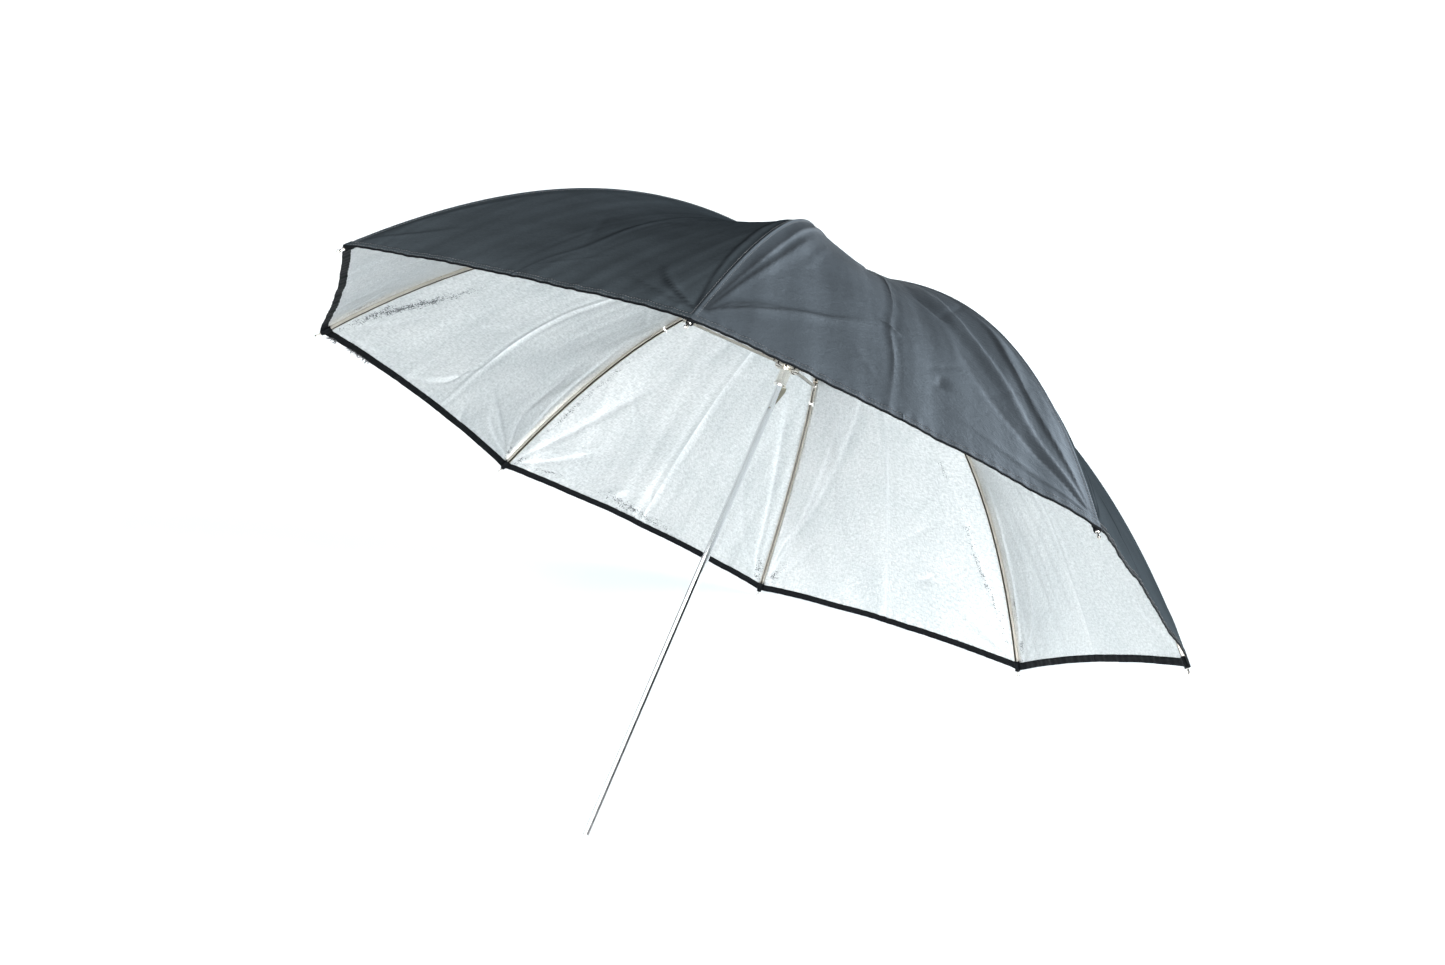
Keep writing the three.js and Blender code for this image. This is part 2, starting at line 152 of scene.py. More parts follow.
def along(X, Y, pts):
    """signed distance to a polyline, and how far along it the nearest place is (0 to 1)"""
    best = np.full(X.shape, 1e9)
    sign = np.zeros(X.shape)
    tau = np.zeros(X.shape)
    seg = np.diff(pts, axis=0)
    lens = np.maximum(np.hypot(seg[:, 0], seg[:, 1]), 1e-9)
    start = np.concatenate([[0], np.cumsum(lens)])
    for i in range(len(seg)):
        dx, dy = X - pts[i, 0], Y - pts[i, 1]
        t = np.clip((dx * seg[i, 0] + dy * seg[i, 1]) / lens[i] ** 2, 0, 1)
        ex, ey = dx - t * seg[i, 0], dy - t * seg[i, 1]
        d = np.hypot(ex, ey)
        near = d < best
        best = np.where(near, d, best)
        sign = np.where(near, np.sign(seg[i, 0] * dy - seg[i, 1] * dx), sign)
        tau = np.where(near, (start[i] + t * lens[i]) / start[-1], tau)
    return best * sign, tau


def fold(X, Y, ctrl, height, w0, w1, fade=(0.05, 0.35), lean=0.0, power=1.6):
    """one fold along a line: height in mm, half width from w0 to w1, faded in and out at its ends, leaning to one side"""
    d, t = along(X, Y, curve_points(ctrl))
    w = w0 + (w1 - w0) * t
    x = d / w
    x = np.where(x > 0, x * (1 + lean), x * (1 - lean))
    env = smooth(t, 0, fade[0]) * (1 - smooth(t, 1 - fade[1], 1)) if fade[0] > 0 else 1 - smooth(t, 1 - fade[1], 1)
    ends = np.exp(-((np.abs(d) / (w * 3.2)) ** 4))
    line = env * np.exp(-(np.abs(d) / 1.7) ** 1.3) * min(1.0, abs(height) / 1.7)
    return height * env * (w / max(w0, w1)) ** .85 * np.exp(-np.abs(x) ** power) * ends, line


def waves(X, Y, seed, count, kx, ky, height):
    """smooth unevenness: a sum of long waves with wave numbers around kx across and ky down the gore"""
    g = np.random.RandomState(seed)
    h = np.zeros(X.shape)
    for _ in range(count):
        a = kx * g.uniform(0.55, 1.5) * g.choice([-1, 1])
        b = ky * g.uniform(-1.3, 1.3)
        h += np.sin(a * X + b * Y + g.uniform(0, 2 * np.pi) + 0.9 * np.sin(b * 0.7 * Y + g.uniform(0, 6.28))) * g.uniform(0.5, 1)
    return height * h / math.sqrt(count)


# folds seen on each gore: (line, height, start half width, end half width, fades, lean)
# positive stands out of the canopy's outer face
FOLDS = {
    7: [
        ([(486, .985), (464, .90), (424, .70), (392, .56)], 2.3, 1.6, 6.5, (0, .55), .45),
        ([(487, .982), (470, .945), (452, .86), (436, .74)], 1.5, 1.3, 4.5, (0, .5), -.4),
        ([(487, .99), (444, .962), (404, .935), (330, .905), (262, .90)], 2.0, 1.4, 6.0, (0, .35), .55),
        ([(486, .995), (430, .972), (373, .955), (278, .945), (150, .93), (60, .9)], 2.6, 1.6, 5.5, (0, .3), -.5),
        ([(491, .02), (450, .115), (395, .155), (325, .195), (233, .20), (165, .17)], 4.2, 1.8, 8.5, (0, .4), -.65),
        ([(491, .015), (430, .075), (361, .085), (291, .05), (220, .035)], 2.6, 1.6, 6.5, (0, .45), .6),
        ([(492, .03), (468, .12), (440, .20), (400, .26), (350, .29)], -2.0, 1.6, 9.0, (0, .5), .3),
        ([(494, .03), (486, .15), (474, .30), (462, .40)], 1.1, 1.4, 6.0, (0, .6), .4),
        ([(447, .40), (436, .385), (424, .375)], -1.6, 5.0, 4.0, (.3, .4), .2),
        ([(262, .60), (210, .545), (150, .52)], -1.8, 7.0, 5.0, (.3, .4), .5),
        ([(402, .50), (393, .545), (388, .60)], 1.6, 3.0, 2.0, (.2, .5), -.4),
        ([(330, .26), (300, .32), (262, .36)], -1.5, 6.0, 7.0, (.3, .4), .3),
    ],
    8: [
        ([(489, .012), (477, .085), (461, .15), (440, .19)], 1.7, 1.3, 5.0, (0, .55), .5),
        ([(489, .02), (484, .10), (474, .20), (462, .29)], 1.2, 1.2, 5.5, (0, .6), -.4),
        ([(487, .008), (440, .03), (370, .045), (280, .05), (180, .055)], 1.7, 1.4, 5.0, (0, .4), .5),
        ([(490, .985), (470, .90), (440, .82)], 1.2, 1.4, 6.0, (0, .6), .3),
        ([(488, .99), (420, .965), (330, .955)], 1.1, 1.4, 5.0, (0, .5), -.4),
    ],
    1: [
        ([(488, .985), (470, .90), (440, .80)], 1.2, 1.4, 5.0, (0, .5), .3),
        ([(488, .01), (452, .10), (404, .16)], 1.2, 1.4, 6.0, (0, .5), .3),
    ],
    2: [
        ([(493, .355), (479, .47), (462, .50), (440, .49)], -2.3, 2.4, 5.0, (.15, .4), .4),
        ([(487, .40), (470, .47), (447, .535), (425, .56)], 1.5, 3.0, 6.0, (.2, .5), -.3),
        ([(490, .975), (472, .83), (457, .70), (446, .60)], -2.2, 1.4, 6.5, (0, .55), .5),
        ([(491, .98), (486, .88), (476, .78), (462, .72)], -1.7, 1.3, 5.0, (0, .5), -.4),
        ([(490, .985), (456, .885), (404, .865), (350, .84)], -1.8, 1.4, 7.0, (0, .5), .4),
        ([(487, .99), (430, .955), (360, .94), (280, .93)], -1.4, 1.3, 5.0, (0, .45), -.5),
        ([(489, .02), (468, .10), (440, .16), (402, .20)], -1.3, 1.3, 6.0, (0, .5), .4),
        ([(494, .05), (489, .18), (484, .30)], -1.2, 1.3, 5.0, (0, .5), .2),
        ([(420, .30), (400, .36), (385, .42)], 1.2, 5.0, 7.0, (.3, .4), .2),
        ([(498, .70), (487, .66), (474, .63)], -1.3, 2.4, 3.4, (.1, .5), .2),
    ],
    3: [
        ([(491, .015), (452, .085), (413, .14), (351, .21), (300, .25)], -1.9, 1.4, 8.0, (0, .5), .45),
        ([(493, .02), (478, .11), (460, .19), (438, .27)], -1.3, 1.3, 6.0, (0, .6), -.3),
        ([(491, .99), (476, .955), (410, .93), (322, .88), (240, .84)], -2.0, 1.4, 7.0, (0, .4), -.5),
        ([(491, .985), (470, .90), (425, .82), (370, .77)], -1.1, 1.3, 7.0, (0, .5), .3),
        ([(492, .35), (480, .38), (470, .42)], 1.0, 4.0, 5.0, (.3, .4), .2),
        ([(486, .52), (470, .50), (455, .47)], -.9, 4.0, 6.0, (.3, .4), .2),
    ],
    4: [
        ([(491, .012), (451, .04), (408, .13), (309, .27), (249, .36), (190, .42)], -3.0, 1.5, 6.0, (0, .3), -.55),
        ([(491, .01), (419, .09), (354, .14), (259, .23), (200, .27)], 2.6, 1.5, 9.5, (0, .4), .4),
        ([(492, .02), (474, .09), (450, .16), (420, .22)], -1.3, 1.3, 6.0, (0, .55), .3),
        ([(490, .99), (461, .955), (411, .90), (359, .875), (300, .86)], -1.2, 1.3, 6.0, (0, .4), .4),
        ([(493, .98), (478, .88), (460, .78)], -1.1, 1.3, 6.0, (0, .6), .3),
        ([(452, .62), (446, .66), (442, .71)], -1.2, 3.0, 3.0, (.3, .4), .3),
    ],
    5: [
        ([(491, .012), (440, .05), (370, .075), (280, .10)], -2.0, 1.4, 5.5, (0, .45), .5),
        ([(492, .02), (472, .11), (445, .17), (400, .2)], -1.4, 1.3, 6.0, (0, .5), -.4),
        ([(491, .985), (468, .88), (440, .80)], -1.3, 1.3, 6.0, (0, .5), .3),
        ([(491, .99), (440, .955), (370, .94)], -1.3, 1.3, 5.0, (0, .5), -.3),
    ],
    6: [
        ([(490, .985), (452, .90), (400, .85), (330, .82)], 2.0, 1.4, 7.0, (0, .45), .4),
        ([(491, .99), (430, .96), (360, .95)], 1.6, 1.4, 5.0, (0, .45), -.4),
        ([(491, .012), (450, .09), (400, .14)], 1.5, 1.4, 6.0, (0, .5), .4),
        ([(491, .02), (476, .12), (456, .20)], 1.2, 1.3, 5.0, (0, .5), -.3),
    ],
}
# where the crease down the middle of each gore runs, from the crown to the hem
CREASE = {
    1: [(60, .50), (300, .51), (453, .50), (497, .49)],
    2: [(60, .50), (280, .48), (347, .472), (430, .52), (478, .56), (497, .57)],
    3: [(60, .50), (260, .49), (400, .50), (497, .505)],
    4: [(60, .53), (248, .55), (341, .512), (436, .50), (497, .50)],
    5: [(60, .51), (300, .54), (373, .55), (439, .515), (497, .50)],
    6: [(60, .50), (300, .49), (497, .5)],
    7: [(60, .48), (191, .47), (326, .51), (394, .54), (447, .53), (497, .54)],
    8: [(60, .52), (220, .53), (357, .485), (436, .46), (468, .49), (497, .5)],
}
CREASE_H = {1: 1.0, 2: 1.4, 3: .7, 4: 1.2, 5: 1.0, 6: .8, 7: .75, 8: .6}


def folds(k, r, s):
    """height of the creases and folds of gore k, and a mask that is 1 on them"""
    k = (k - 1) % 8 + 1
    X, Y = flat_xy(r, s)
    side = np.minimum(s, 1 - s) * CHORD * r            # from the nearer rib
    edge = ARC(RIM_R) - Y                               # from the hem
    h = np.zeros(X.shape)
    d, t = along(X, Y, curve_points(CREASE[k], 60))
    crease = np.exp(-(np.abs(d) / 1.9) ** 1.15) * smooth(t, 0, .2) * (0.7 + 0.3 * np.sin(t * 17 + k))
    h += CREASE_H[k] * crease * (1 - .6 * smooth(t, .96, 1))
    h -= 0.35 * CREASE_H[k] * np.exp(-((np.abs(d) - 6.5) / 4.0) ** 2) * smooth(t, 0, .25)
    for f in FOLDS[k]:
        rise, line = fold(X, Y, *f[:4], fade=f[4], lean=f[5])
        h += rise
        crease = np.maximum(crease, .9 * line)
    g = np.random.RandomState(70 + k)
    for _ in range(9):                                  # short soft creases scattered over the cloth
        r0, s0 = g.uniform(230, 480), g.uniform(.12, .88)
        x0, y0 = (s0 - .5) * CHORD * r0, ARC(r0)
        a = g.uniform(-1.0, 1.0) + (math.pi / 2 if g.rand() < .65 else 0)
        length = g.uniform(18, 60)
        dx, dy = math.cos(a), math.sin(a)
        u, v = (X - x0) * dx + (Y - y0) * dy, -(X - x0) * dy + (Y - y0) * dx + 0.002 * ((X - x0) * dx) ** 2
        h += g.uniform(-.75, .75) * np.exp(-(u / length) ** 4) * np.exp(-np.abs(v / g.uniform(2.4, 6.5)) ** 1.7)
    h += waves(X, Y, 10 + k, 7, .19, .012, .30) * smooth(r, 60, 200)
    h += waves(X, Y, 40 + k, 6, .055, .018, .75) * smooth(r, 120, 300)
    h += waves(X, Y, 90 + k, 5, .42, .03, .10) * smooth(r, 60, 200)
    # puckers along the seam on the rib, and along the hem's stitching
    pull = np.sin(Y * 2 * np.pi / 9.3 + 1.6 * np.sin(Y / 31 + k) + (s > .5) * 1.7)
    h += 0.28 * pull * np.exp(-(side / 8.5) ** 2) * smooth(r, 40, 90)
    tug = np.sin(X * 2 * np.pi / 13.7 + 1.9 * np.sin(X / 37 + 2 * k))
    h += 0.32 * tug * np.exp(-((edge - 6) / 9.0) ** 2)
    h *= (1 - np.exp(-(side / 9.0) ** 2)) * smooth(r, 14, 70)
    return h, crease


def cloth(k, r, s):
    """inner face, outer face and outward normal of gore k"""
    p = gore_base(k, r, s)
    n = base_normal(k, r, s)
    side = np.minimum(np.abs(s), np.abs(1 - s)) * CHORD * r
    h, crease = folds(k, r, s)
    near = np.exp(-(side / 9.0) ** 2) * smooth(r, 40, 90)
    lift = 3.6 * (1 - smooth(r, 17, 45))
    inner = p + n * (3.75 - 1.35 * near + h)[..., None]
    seam = 0.42 * np.exp(-(side / 1.1) ** 2) + 0.26 * (1 - smooth(side, 4.3, 5.6)) * (s < .5)
    seam = seam * smooth(r, 24, 34)
    outer = inner + n * (0.55 + seam)[..., None]
    inner[..., 2] += lift
    outer[..., 2] += lift
    return inner, outer, n, crease


# ---------------------------------------------------------------- mesh helpers
def new_object(name, verts, faces, materials, index=None, uv=None, attrs=None, normals=None, smooth_faces=True):
    """verts in the row frame, metres. faces: list or (n, 3|4) array. uv: per vertex, metres. attrs: {name: per-vertex float}"""
    me = bpy.data.meshes.new(name)
    verts = np.asarray(verts, float).reshape(-1, 3)
    me.from_pydata(verts.tolist(), [], faces.tolist() if isinstance(faces, np.ndarray) else [list(map(int, f)) for f in faces])
    for m in materials:
        me.materials.append(m)
    if index is not None:
        me.polygons.foreach_set("material_index", np.asarray(index, np.int32))
    me.polygons.foreach_set("use_smooth", np.full(len(me.polygons), smooth_faces))
    if uv is not None:
        layer = me.uv_layers.new(name="cloth")
        loops = np.zeros(len(me.loops), np.int32)
        me.loops.foreach_get("vertex_index", loops)
        layer.data.foreach_set("uv", np.asarray(uv, np.float32)[loops].ravel())
    for key, val in (attrs or {}).items():
        a = me.attributes.new(key, "FLOAT", "POINT")
        a.data.foreach_set("value", np.asarray(val, np.float32).ravel())
    me.update()
    if normals is not None:
        me.normals_split_custom_set_from_vertices(np.asarray(normals, float).tolist())
    o = bpy.data.objects.new(name, me)
    bpy.context.scene.collection.objects.link(o)
    return o


def tube(points, radius, sides=8, closed=False, caps=True):
    """verts and faces of a round tube along points (n, 3); radius a number or one per point"""
    p = np.asarray(points, float)
    n = len(p)
    rad = np.broadcast_to(np.asarray(radius, float), (n,))
    t = np.gradient(p, axis=0) if not closed else np.roll(p, -1, 0) - np.roll(p, 1, 0)
    t /= np.linalg.norm(t, axis=1, keepdims=True)
    ref = np.array([0.0, 0, 1]) if abs(t[0, 2]) < .8 else np.array([1.0, 0, 0])
    u = np.cross(t[0], ref)
    u /= np.linalg.norm(u)
    us = [u]
    for i in range(1, n):
        u = us[-1] - t[i] * (us[-1] @ t[i])
        us.append(u / np.linalg.norm(u))
    us = np.array(us)
    vs = np.cross(t, us)
    a = np.linspace(0, 2 * np.pi, sides, endpoint=False)
    verts = p[:, None, :] + rad[:, None, None] * (np.cos(a)[None, :, None] * us[:, None, :] + np.sin(a)[None, :, None] * vs[:, None, :])
    faces = []
    rows = n if closed else n - 1
    for i in range(rows):
        j = (i + 1) % n
        for q in range(sides):
            w = (q + 1) % sides
            faces.append((i * sides + q, i * sides + w, j * sides + w, j * sides + q))
    verts = verts.reshape(-1, 3)
    if caps and not closed:
        faces.append(tuple(range(sides - 1, -1, -1)))
        faces.append(tuple(range((n - 1) * sides, n * sides)))
    return verts, faces


def lathe(profile, seg=64):
    """closed or axis-touching [radius, z] outline turned about z: verts (mm) and faces"""
    prof = np.asarray(profile, float)
    a = np.linspace(0, 2 * np.pi, seg, endpoint=False)
    verts, ids = [], []
    for r, z in prof:
        if r < 1e-6:
            ids.append([len(verts)] * seg)
            verts.append((0, 0, z))
        else:
            ids.append(list(range(len(verts), len(verts) + seg)))
            verts += [(r * math.cos(t), r * math.sin(t), z) for t in a]
    faces = []
    for i in range(len(prof) - 1):
        for q in range(seg):
            w = (q + 1) % seg
            f = [ids[i][q], ids[i][w], ids[i + 1][w], ids[i + 1][q]]
            f = [x for n, x in enumerate(f) if x not in f[:n]]
            if len(f) > 2:
                faces.append(tuple(f))
    return np.array(verts, float), faces


def joined(parts):
    verts, faces, base = [], [], 0
    for v, f in parts:
        verts.append(v)
        faces += [tuple(i + base for i in q) for q in f]
        base += len(v)
    return np.vstack(verts), faces


def stitch_rows(A, B, Nn, radius=0.24, lift=0.10):
    """small sunk-in stitches from A to B, standing out along Nn, mm"""
    sides = 6
    ring = np.linspace(0, 2 * np.pi, sides, endpoint=False)
    prof = [(0.0, .25), (0.18, .85), (0.5, 1.0), (0.82, .85), (1.0, .25)]
    rise = [-.35, .55, 1.0, .55, -.35]
    T = B - A
    L = np.linalg.norm(T, axis=1, keepdims=True)
    T = T / L
    Nn = Nn - T * np.sum(Nn * T, 1, keepdims=True)
    Nn /= np.linalg.norm(Nn, axis=1, keepdims=True)
    W = np.cross(Nn, T)
    m = len(A)
    verts = np.zeros((m, len(prof), sides, 3))
    for i, ((f, q), up) in enumerate(zip(prof, rise)):
        c = A + T * L * f + Nn * (lift * up)
        verts[:, i] = c[:, None] + radius * q * (np.cos(ring)[None, :, None] * W[:, None] + np.sin(ring)[None, :, None] * Nn[:, None])
    per = len(prof) * sides
    cell = []
    for i in range(len(prof) - 1):
        for q in range(sides):
            w = (q + 1) % sides
            cell.append((i * sides + q, (i + 1) * sides + q, (i + 1) * sides + w, i * sides + w))
    caps = [tuple(range(sides)), tuple(range(per - 1, per - 1 - sides, -1))]
    faces = []
    for f in cell + caps:
        faces += (np.array(f)[None, :] + np.arange(m)[:, None] * per).tolist()
    return verts.reshape(-1, 3), faces


# ---------------------------------------------------------------- materials
def node_mat(name):
    m = bpy.data.materials.new(name)
    m.use_nodes = True
    nt = m.node_tree
    return m, nt, nt.nodes["Principled BSDF"]


def add(nt, kind, **props):
    n = nt.nodes.new(kind)
    for k, v in props.items():
        if k in ("inputs",):
            for key, val in v.items():
                n.inputs[key].default_value = val
        else:
            setattr(n, k, v)
    return n


def ramp(nt, fac, stops):
    n = nt.nodes.new("ShaderNodeValToRGB")
    e = n.color_ramp.elements
    while len(e) < len(stops):
        e.new(0.5)
    for i, (p, c) in enumerate(stops):
        e[i].position = p
        e[i].color = (*c, 1) if len(c) == 3 else c
    nt.links.new(fac, n.inputs[0])
    return n.outputs[0]


def mix_rgb(nt, fac, a, b, kind="MIX"):
    n = nt.nodes.new("ShaderNodeMix")
    n.data_type = "RGBA"
    n.blend_type = kind
    for sock, val in ((n.inputs[0], fac), (n.inputs[6], a), (n.inputs[7], b)):
        if hasattr(val, "is_output"):
            nt.links.new(val, sock)
        elif isinstance(val, (int, float)):
            sock.default_value = val
        else:
            sock.default_value = (*val, 1)
    return n.outputs[2]


def math_node(nt, op, a, b=0.0, clamp=False):
    n = nt.nodes.new("ShaderNodeMath")
    n.operation = op
    n.use_clamp = clamp
    for sock, val in ((n.inputs[0], a), (n.inputs[1], b)):
        if hasattr(val, "is_output"):
            nt.links.new(val, sock)
        else:
            sock.default_value = val
    return n.outputs[0]


def coords(nt, scale=(1000, 1000, 1000), uv=None, rotation=(0, 0, 0)):
    if uv:
        src = nt.nodes.new("ShaderNodeUVMap")
        src.uv_map = uv
        out = src.outputs[0]
    else:
        src = nt.nodes.new("ShaderNodeTexCoord")
        out = src.outputs["Object"]
    mp = nt.nodes.new("ShaderNodeMapping")
    mp.inputs["Scale"].default_value = scale
    mp.inputs["Rotation"].default_value = rotation
    nt.links.new(out, mp.inputs[0])
    return mp.outputs[0]


def noise(nt, vec, scale, detail=3, rough=.55, distortion=0.0):
    n = nt.nodes.new("ShaderNodeTexNoise")
    n.inputs["Scale"].default_value = scale
    n.inputs["Detail"].default_value = detail
    n.inputs["Roughness"].default_value = rough
    n.inputs["Distortion"].default_value = distortion
    nt.links.new(vec, n.inputs["Vector"])
    return n.outputs["Fac"]


def bump(nt, height, strength, distance, after=None):
    n = nt.nodes.new("ShaderNodeBump")
    n.inputs["Strength"].default_value = strength
    n.inputs["Distance"].default_value = distance
    nt.links.new(height, n.inputs["Height"])
    if after is not None:
        nt.links.new(after, n.inputs["Normal"])
    return n.outputs[0]


def attribute(nt, name):
    n = nt.nodes.new("ShaderNodeAttribute")
    n.attribute_name = name
    return n.outputs["Fac"]


def make_outer(name, gloss, base, hem_light_paint=1.0):
    m, nt, b = node_mat(name)
    v = coords(nt, uv="cloth")
    warp = coords(nt, scale=(2300, 260, 1000), uv="cloth")
    weft = coords(nt, scale=(260, 2300, 1000), uv="cloth")
    big = noise(nt, v, .016, 3, .5)
    yarn = math_node(nt, "ADD", noise(nt, warp, .9, 2), noise(nt, weft, .9, 2))
    col = ramp(nt, big, [(.3, tuple(c * .88 for c in base)), (.7, tuple(c * 1.12 for c in base))])
    tone = ramp(nt, math_node(nt, "MULTIPLY", yarn, .5), [(.37, (.72, .72, .73)), (.62, (1, 1, 1))])
    col = mix_rgb(nt, .8, col, tone, "MULTIPLY")
    # painted shade: the cloth darkened towards black along the creases and fold lines
    painted_light_col = mix_rgb(nt, math_node(nt, "MULTIPLY", attribute(nt, "crease"), .86), col, (.0065, .0078, .0092))
    # painted light and shade: the painted fold tone multiplies the colour, darker on faces turned from a fixed light
    # and lighter on faces turned to it
    painted_light_col = mix_rgb(nt, 1.0, painted_light_col, ramp(nt, attribute(nt, "fold_light_paint"), [(.0, (.22, .22, .23)), (.32, (.72, .72, .73)), (.5, (1.0, 1.0, 1.0)), (1.0, (1.5, 1.5, 1.5))]), "MULTIPLY")
    if hem_light_paint > 1:                                        # painted light: paler towards the hem, the lower cloth brightened as the front light would
        painted_light_col = mix_rgb(nt, 1.0, painted_light_col, ramp(nt, attribute(nt, "wear"), [(.0, (1.0, 1.0, 1.0)), (1.0, (hem_light_paint, hem_light_paint, hem_light_paint))]), "MULTIPLY")
    nt.links.new(painted_light_col, b.inputs["Base Color"])
    rough = nt.nodes.new("ShaderNodeMapRange")
    rough.inputs["To Min"].default_value = .46
    rough.inputs["To Max"].default_value = .58
    nt.links.new(noise(nt, v, .06, 3), rough.inputs[0])
    nt.links.new(rough.outputs[0], b.inputs["Roughness"])
    b.inputs["Specular IOR Level"].default_value = gloss
    fine = bump(nt, yarn, .45, .00012)
    crumple = bump(nt, noise(nt, v, .075, 4, .6, .8), .35, .0016, fine)
    nt.links.new(bump(nt, noise(nt, v, .28, 3), .4, .0005, crumple), b.inputs["Normal"])
    return m


def make_silver():
    m, nt, b = node_mat("silver_coating")
    v = coords(nt, uv="cloth")
    warp = coords(nt, scale=(1000, 420, 1000), uv="cloth")
    weft = coords(nt, scale=(420, 1000, 1000), uv="cloth")
    big = noise(nt, v, .012, 4, .55)
    col = ramp(nt, big, [(.32, (.555, .578, .584)), (.68, (.615, .630, .632))])
    grain = math_node(nt, "ADD", noise(nt, warp, .46, 3, .65), noise(nt, weft, .46, 3, .65))
    tone = ramp(nt, math_node(nt, "MULTIPLY", grain, .5), [(.38, (.60, .61, .62)), (.60, (1, 1, 1))])
    col = mix_rgb(nt, .8, col, tone, "MULTIPLY")
    # painted highlight: the silver lightened along the creases and fold lines
    col = mix_rgb(nt, math_node(nt, "MULTIPLY", attribute(nt, "crease"), .42), col, (.74, .76, .77))
    # painted light and shade: the painted fold tone multiplies the colour, darker on faces turned from a fixed light
    # and lighter on faces turned to it
    col = mix_rgb(nt, 1.0, col, ramp(nt, attribute(nt, "fold_light_paint"), [(.0, (.66, .67, .68)), (.5, (.93, .93, .93)), (1.0, (1.22, 1.22, 1.22))]), "MULTIPLY")
    # where the coating has rubbed off: specks that crowd where the wear attribute is high
    wear = attribute(nt, "wear")
    spots = math_node(nt, "ADD", math_node(nt, "MULTIPLY", noise(nt, v, .62, 3, .6), .8), math_node(nt, "MULTIPLY", noise(nt, v, .13, 2), .35))
    thr = math_node(nt, "SUBTRACT", math_node(nt, "ADD", spots, math_node(nt, "MULTIPLY", wear, .255)), .775)
    mask = math_node(nt, "MULTIPLY", thr, 22.0, clamp=True)
    mask = math_node(nt, "MULTIPLY", mask, math_node(nt, "MULTIPLY", wear, 6.0, clamp=True))
    col = mix_rgb(nt, mask, col, (.035, .04, .045))
    nt.links.new(col, b.inputs["Base Color"])
    metal = math_node(nt, "MULTIPLY", math_node(nt, "SUBTRACT", 1.0, mask), .85)
    nt.links.new(metal, b.inputs["Metallic"])
    rough = nt.nodes.new("ShaderNodeMapRange")
    rough.inputs["To Min"].default_value = .30
    rough.inputs["To Max"].default_value = .44
    nt.links.new(noise(nt, v, .09, 3), rough.inputs[0])
    nt.links.new(rough.outputs[0], b.inputs["Roughness"])
    fine = bump(nt, grain, .55, .00022)
    crinkle = bump(nt, noise(nt, v, .16, 5, .62, .6), .5, .0011, fine)
    nt.links.new(crinkle, b.inputs["Normal"])
    return m


def make_binding():
    m, nt, b = node_mat("hem_binding_black")
    v = coords(nt, uv="cloth")
    ribs = coords(nt, scale=(2600, 300, 1000), uv="cloth")
    yarn = noise(nt, ribs, .8, 3)
    col = ramp(nt, yarn, [(.3, (.0012, .0016, .0021)), (.7, (.0030, .0038, .0046))])
    col = mix_rgb(nt, math_node(nt, "MULTIPLY", noise(nt, v, .05, 3), .25), col, (.0045, .0054, .0064))
    nt.links.new(col, b.inputs["Base Color"])
    b.inputs["Roughness"].default_value = .62
    b.inputs["Specular IOR Level"].default_value = .05
    nt.links.new(bump(nt, yarn, .6, .0002, bump(nt, noise(nt, v, .35, 3), .4, .0004)), b.inputs["Normal"])
    return m


def make_metal(name, base, rough, streak=(40, 40, 2600), vary=.06, wear=(.35, .34, .32), wear_amount=.25, grain=.12, occlusion_shade=0.0):
    m, nt, b = node_mat(name)
    v = coords(nt, scale=(1000, 1000, 1000))
    col = mix_rgb(nt, noise(nt, v, .05, 4), tuple(c * (1 - vary) for c in base), tuple(min(1, c * (1 + vary)) for c in base))
    spots = math_node(nt, "MULTIPLY", math_node(nt, "SUBTRACT", noise(nt, v, .35, 4, .65), .60), 5.0, clamp=True)
    col = mix_rgb(nt, math_node(nt, "MULTIPLY", spots, wear_amount), col, wear)
    if occlusion_shade:                                           # painted shade where the metal folds in on itself and meets the cloth, from ambient occlusion
        ao = nt.nodes.new("ShaderNodeAmbientOcclusion")
        ao.samples = 6
        ao.only_local = True
        ao.inputs["Distance"].default_value = .004
        occlusion_shade_map = nt.nodes.new("ShaderNodeMapRange")
        occlusion_shade_map.inputs["From Min"].default_value = .35
        occlusion_shade_map.inputs["From Max"].default_value = .95
        occlusion_shade_map.inputs["To Min"].default_value = occlusion_shade
        occlusion_shade_map.inputs["To Max"].default_value = 0.0
        nt.links.new(ao.outputs["AO"], occlusion_shade_map.inputs[0])
        col = mix_rgb(nt, occlusion_shade_map.outputs[0], col, (.035, .032, .028))
    nt.links.new(col, b.inputs["Base Color"])
    b.inputs["Metallic"].default_value = 1.0
    r = nt.nodes.new("ShaderNodeMapRange")
    r.inputs["To Min"].default_value = rough * .75
    r.inputs["To Max"].default_value = rough * 1.35
    nt.links.new(noise(nt, v, .22, 3), r.inputs[0])
    nt.links.new(math_node(nt, "ADD", r.outputs[0], math_node(nt, "MULTIPLY", spots, .12)), b.inputs["Roughness"])
    nt.links.new(bump(nt, noise(nt, v, 1.1, 3), grain, .00006), b.inputs["Normal"])
    return m


def make_plain(name, base, rough, grain_scale=.9, grain=.25, vary=.15, distance=.0002, sheen=0.0):
    m, nt, b = node_mat(name)
    v = coords(nt)
    col = mix_rgb(nt, noise(nt, v, .12, 4), tuple(c * (1 - vary) for c in base), tuple(min(1, c * (1 + vary)) for c in base))
    nt.links.new(col, b.inputs["Base Color"])
    r = nt.nodes.new("ShaderNodeMapRange")
    r.inputs["To Min"].default_value = rough * .85
    r.inputs["To Max"].default_value = min(1, rough * 1.15)
    nt.links.new(noise(nt, v, .4, 3), r.inputs[0])
    nt.links.new(r.outputs[0], b.inputs["Roughness"])
    if sheen:
        b.inputs["Sheen Weight"].default_value = sheen
    nt.links.new(bump(nt, noise(nt, v, grain_scale, 3), grain, distance), b.inputs["Normal"])
    return m
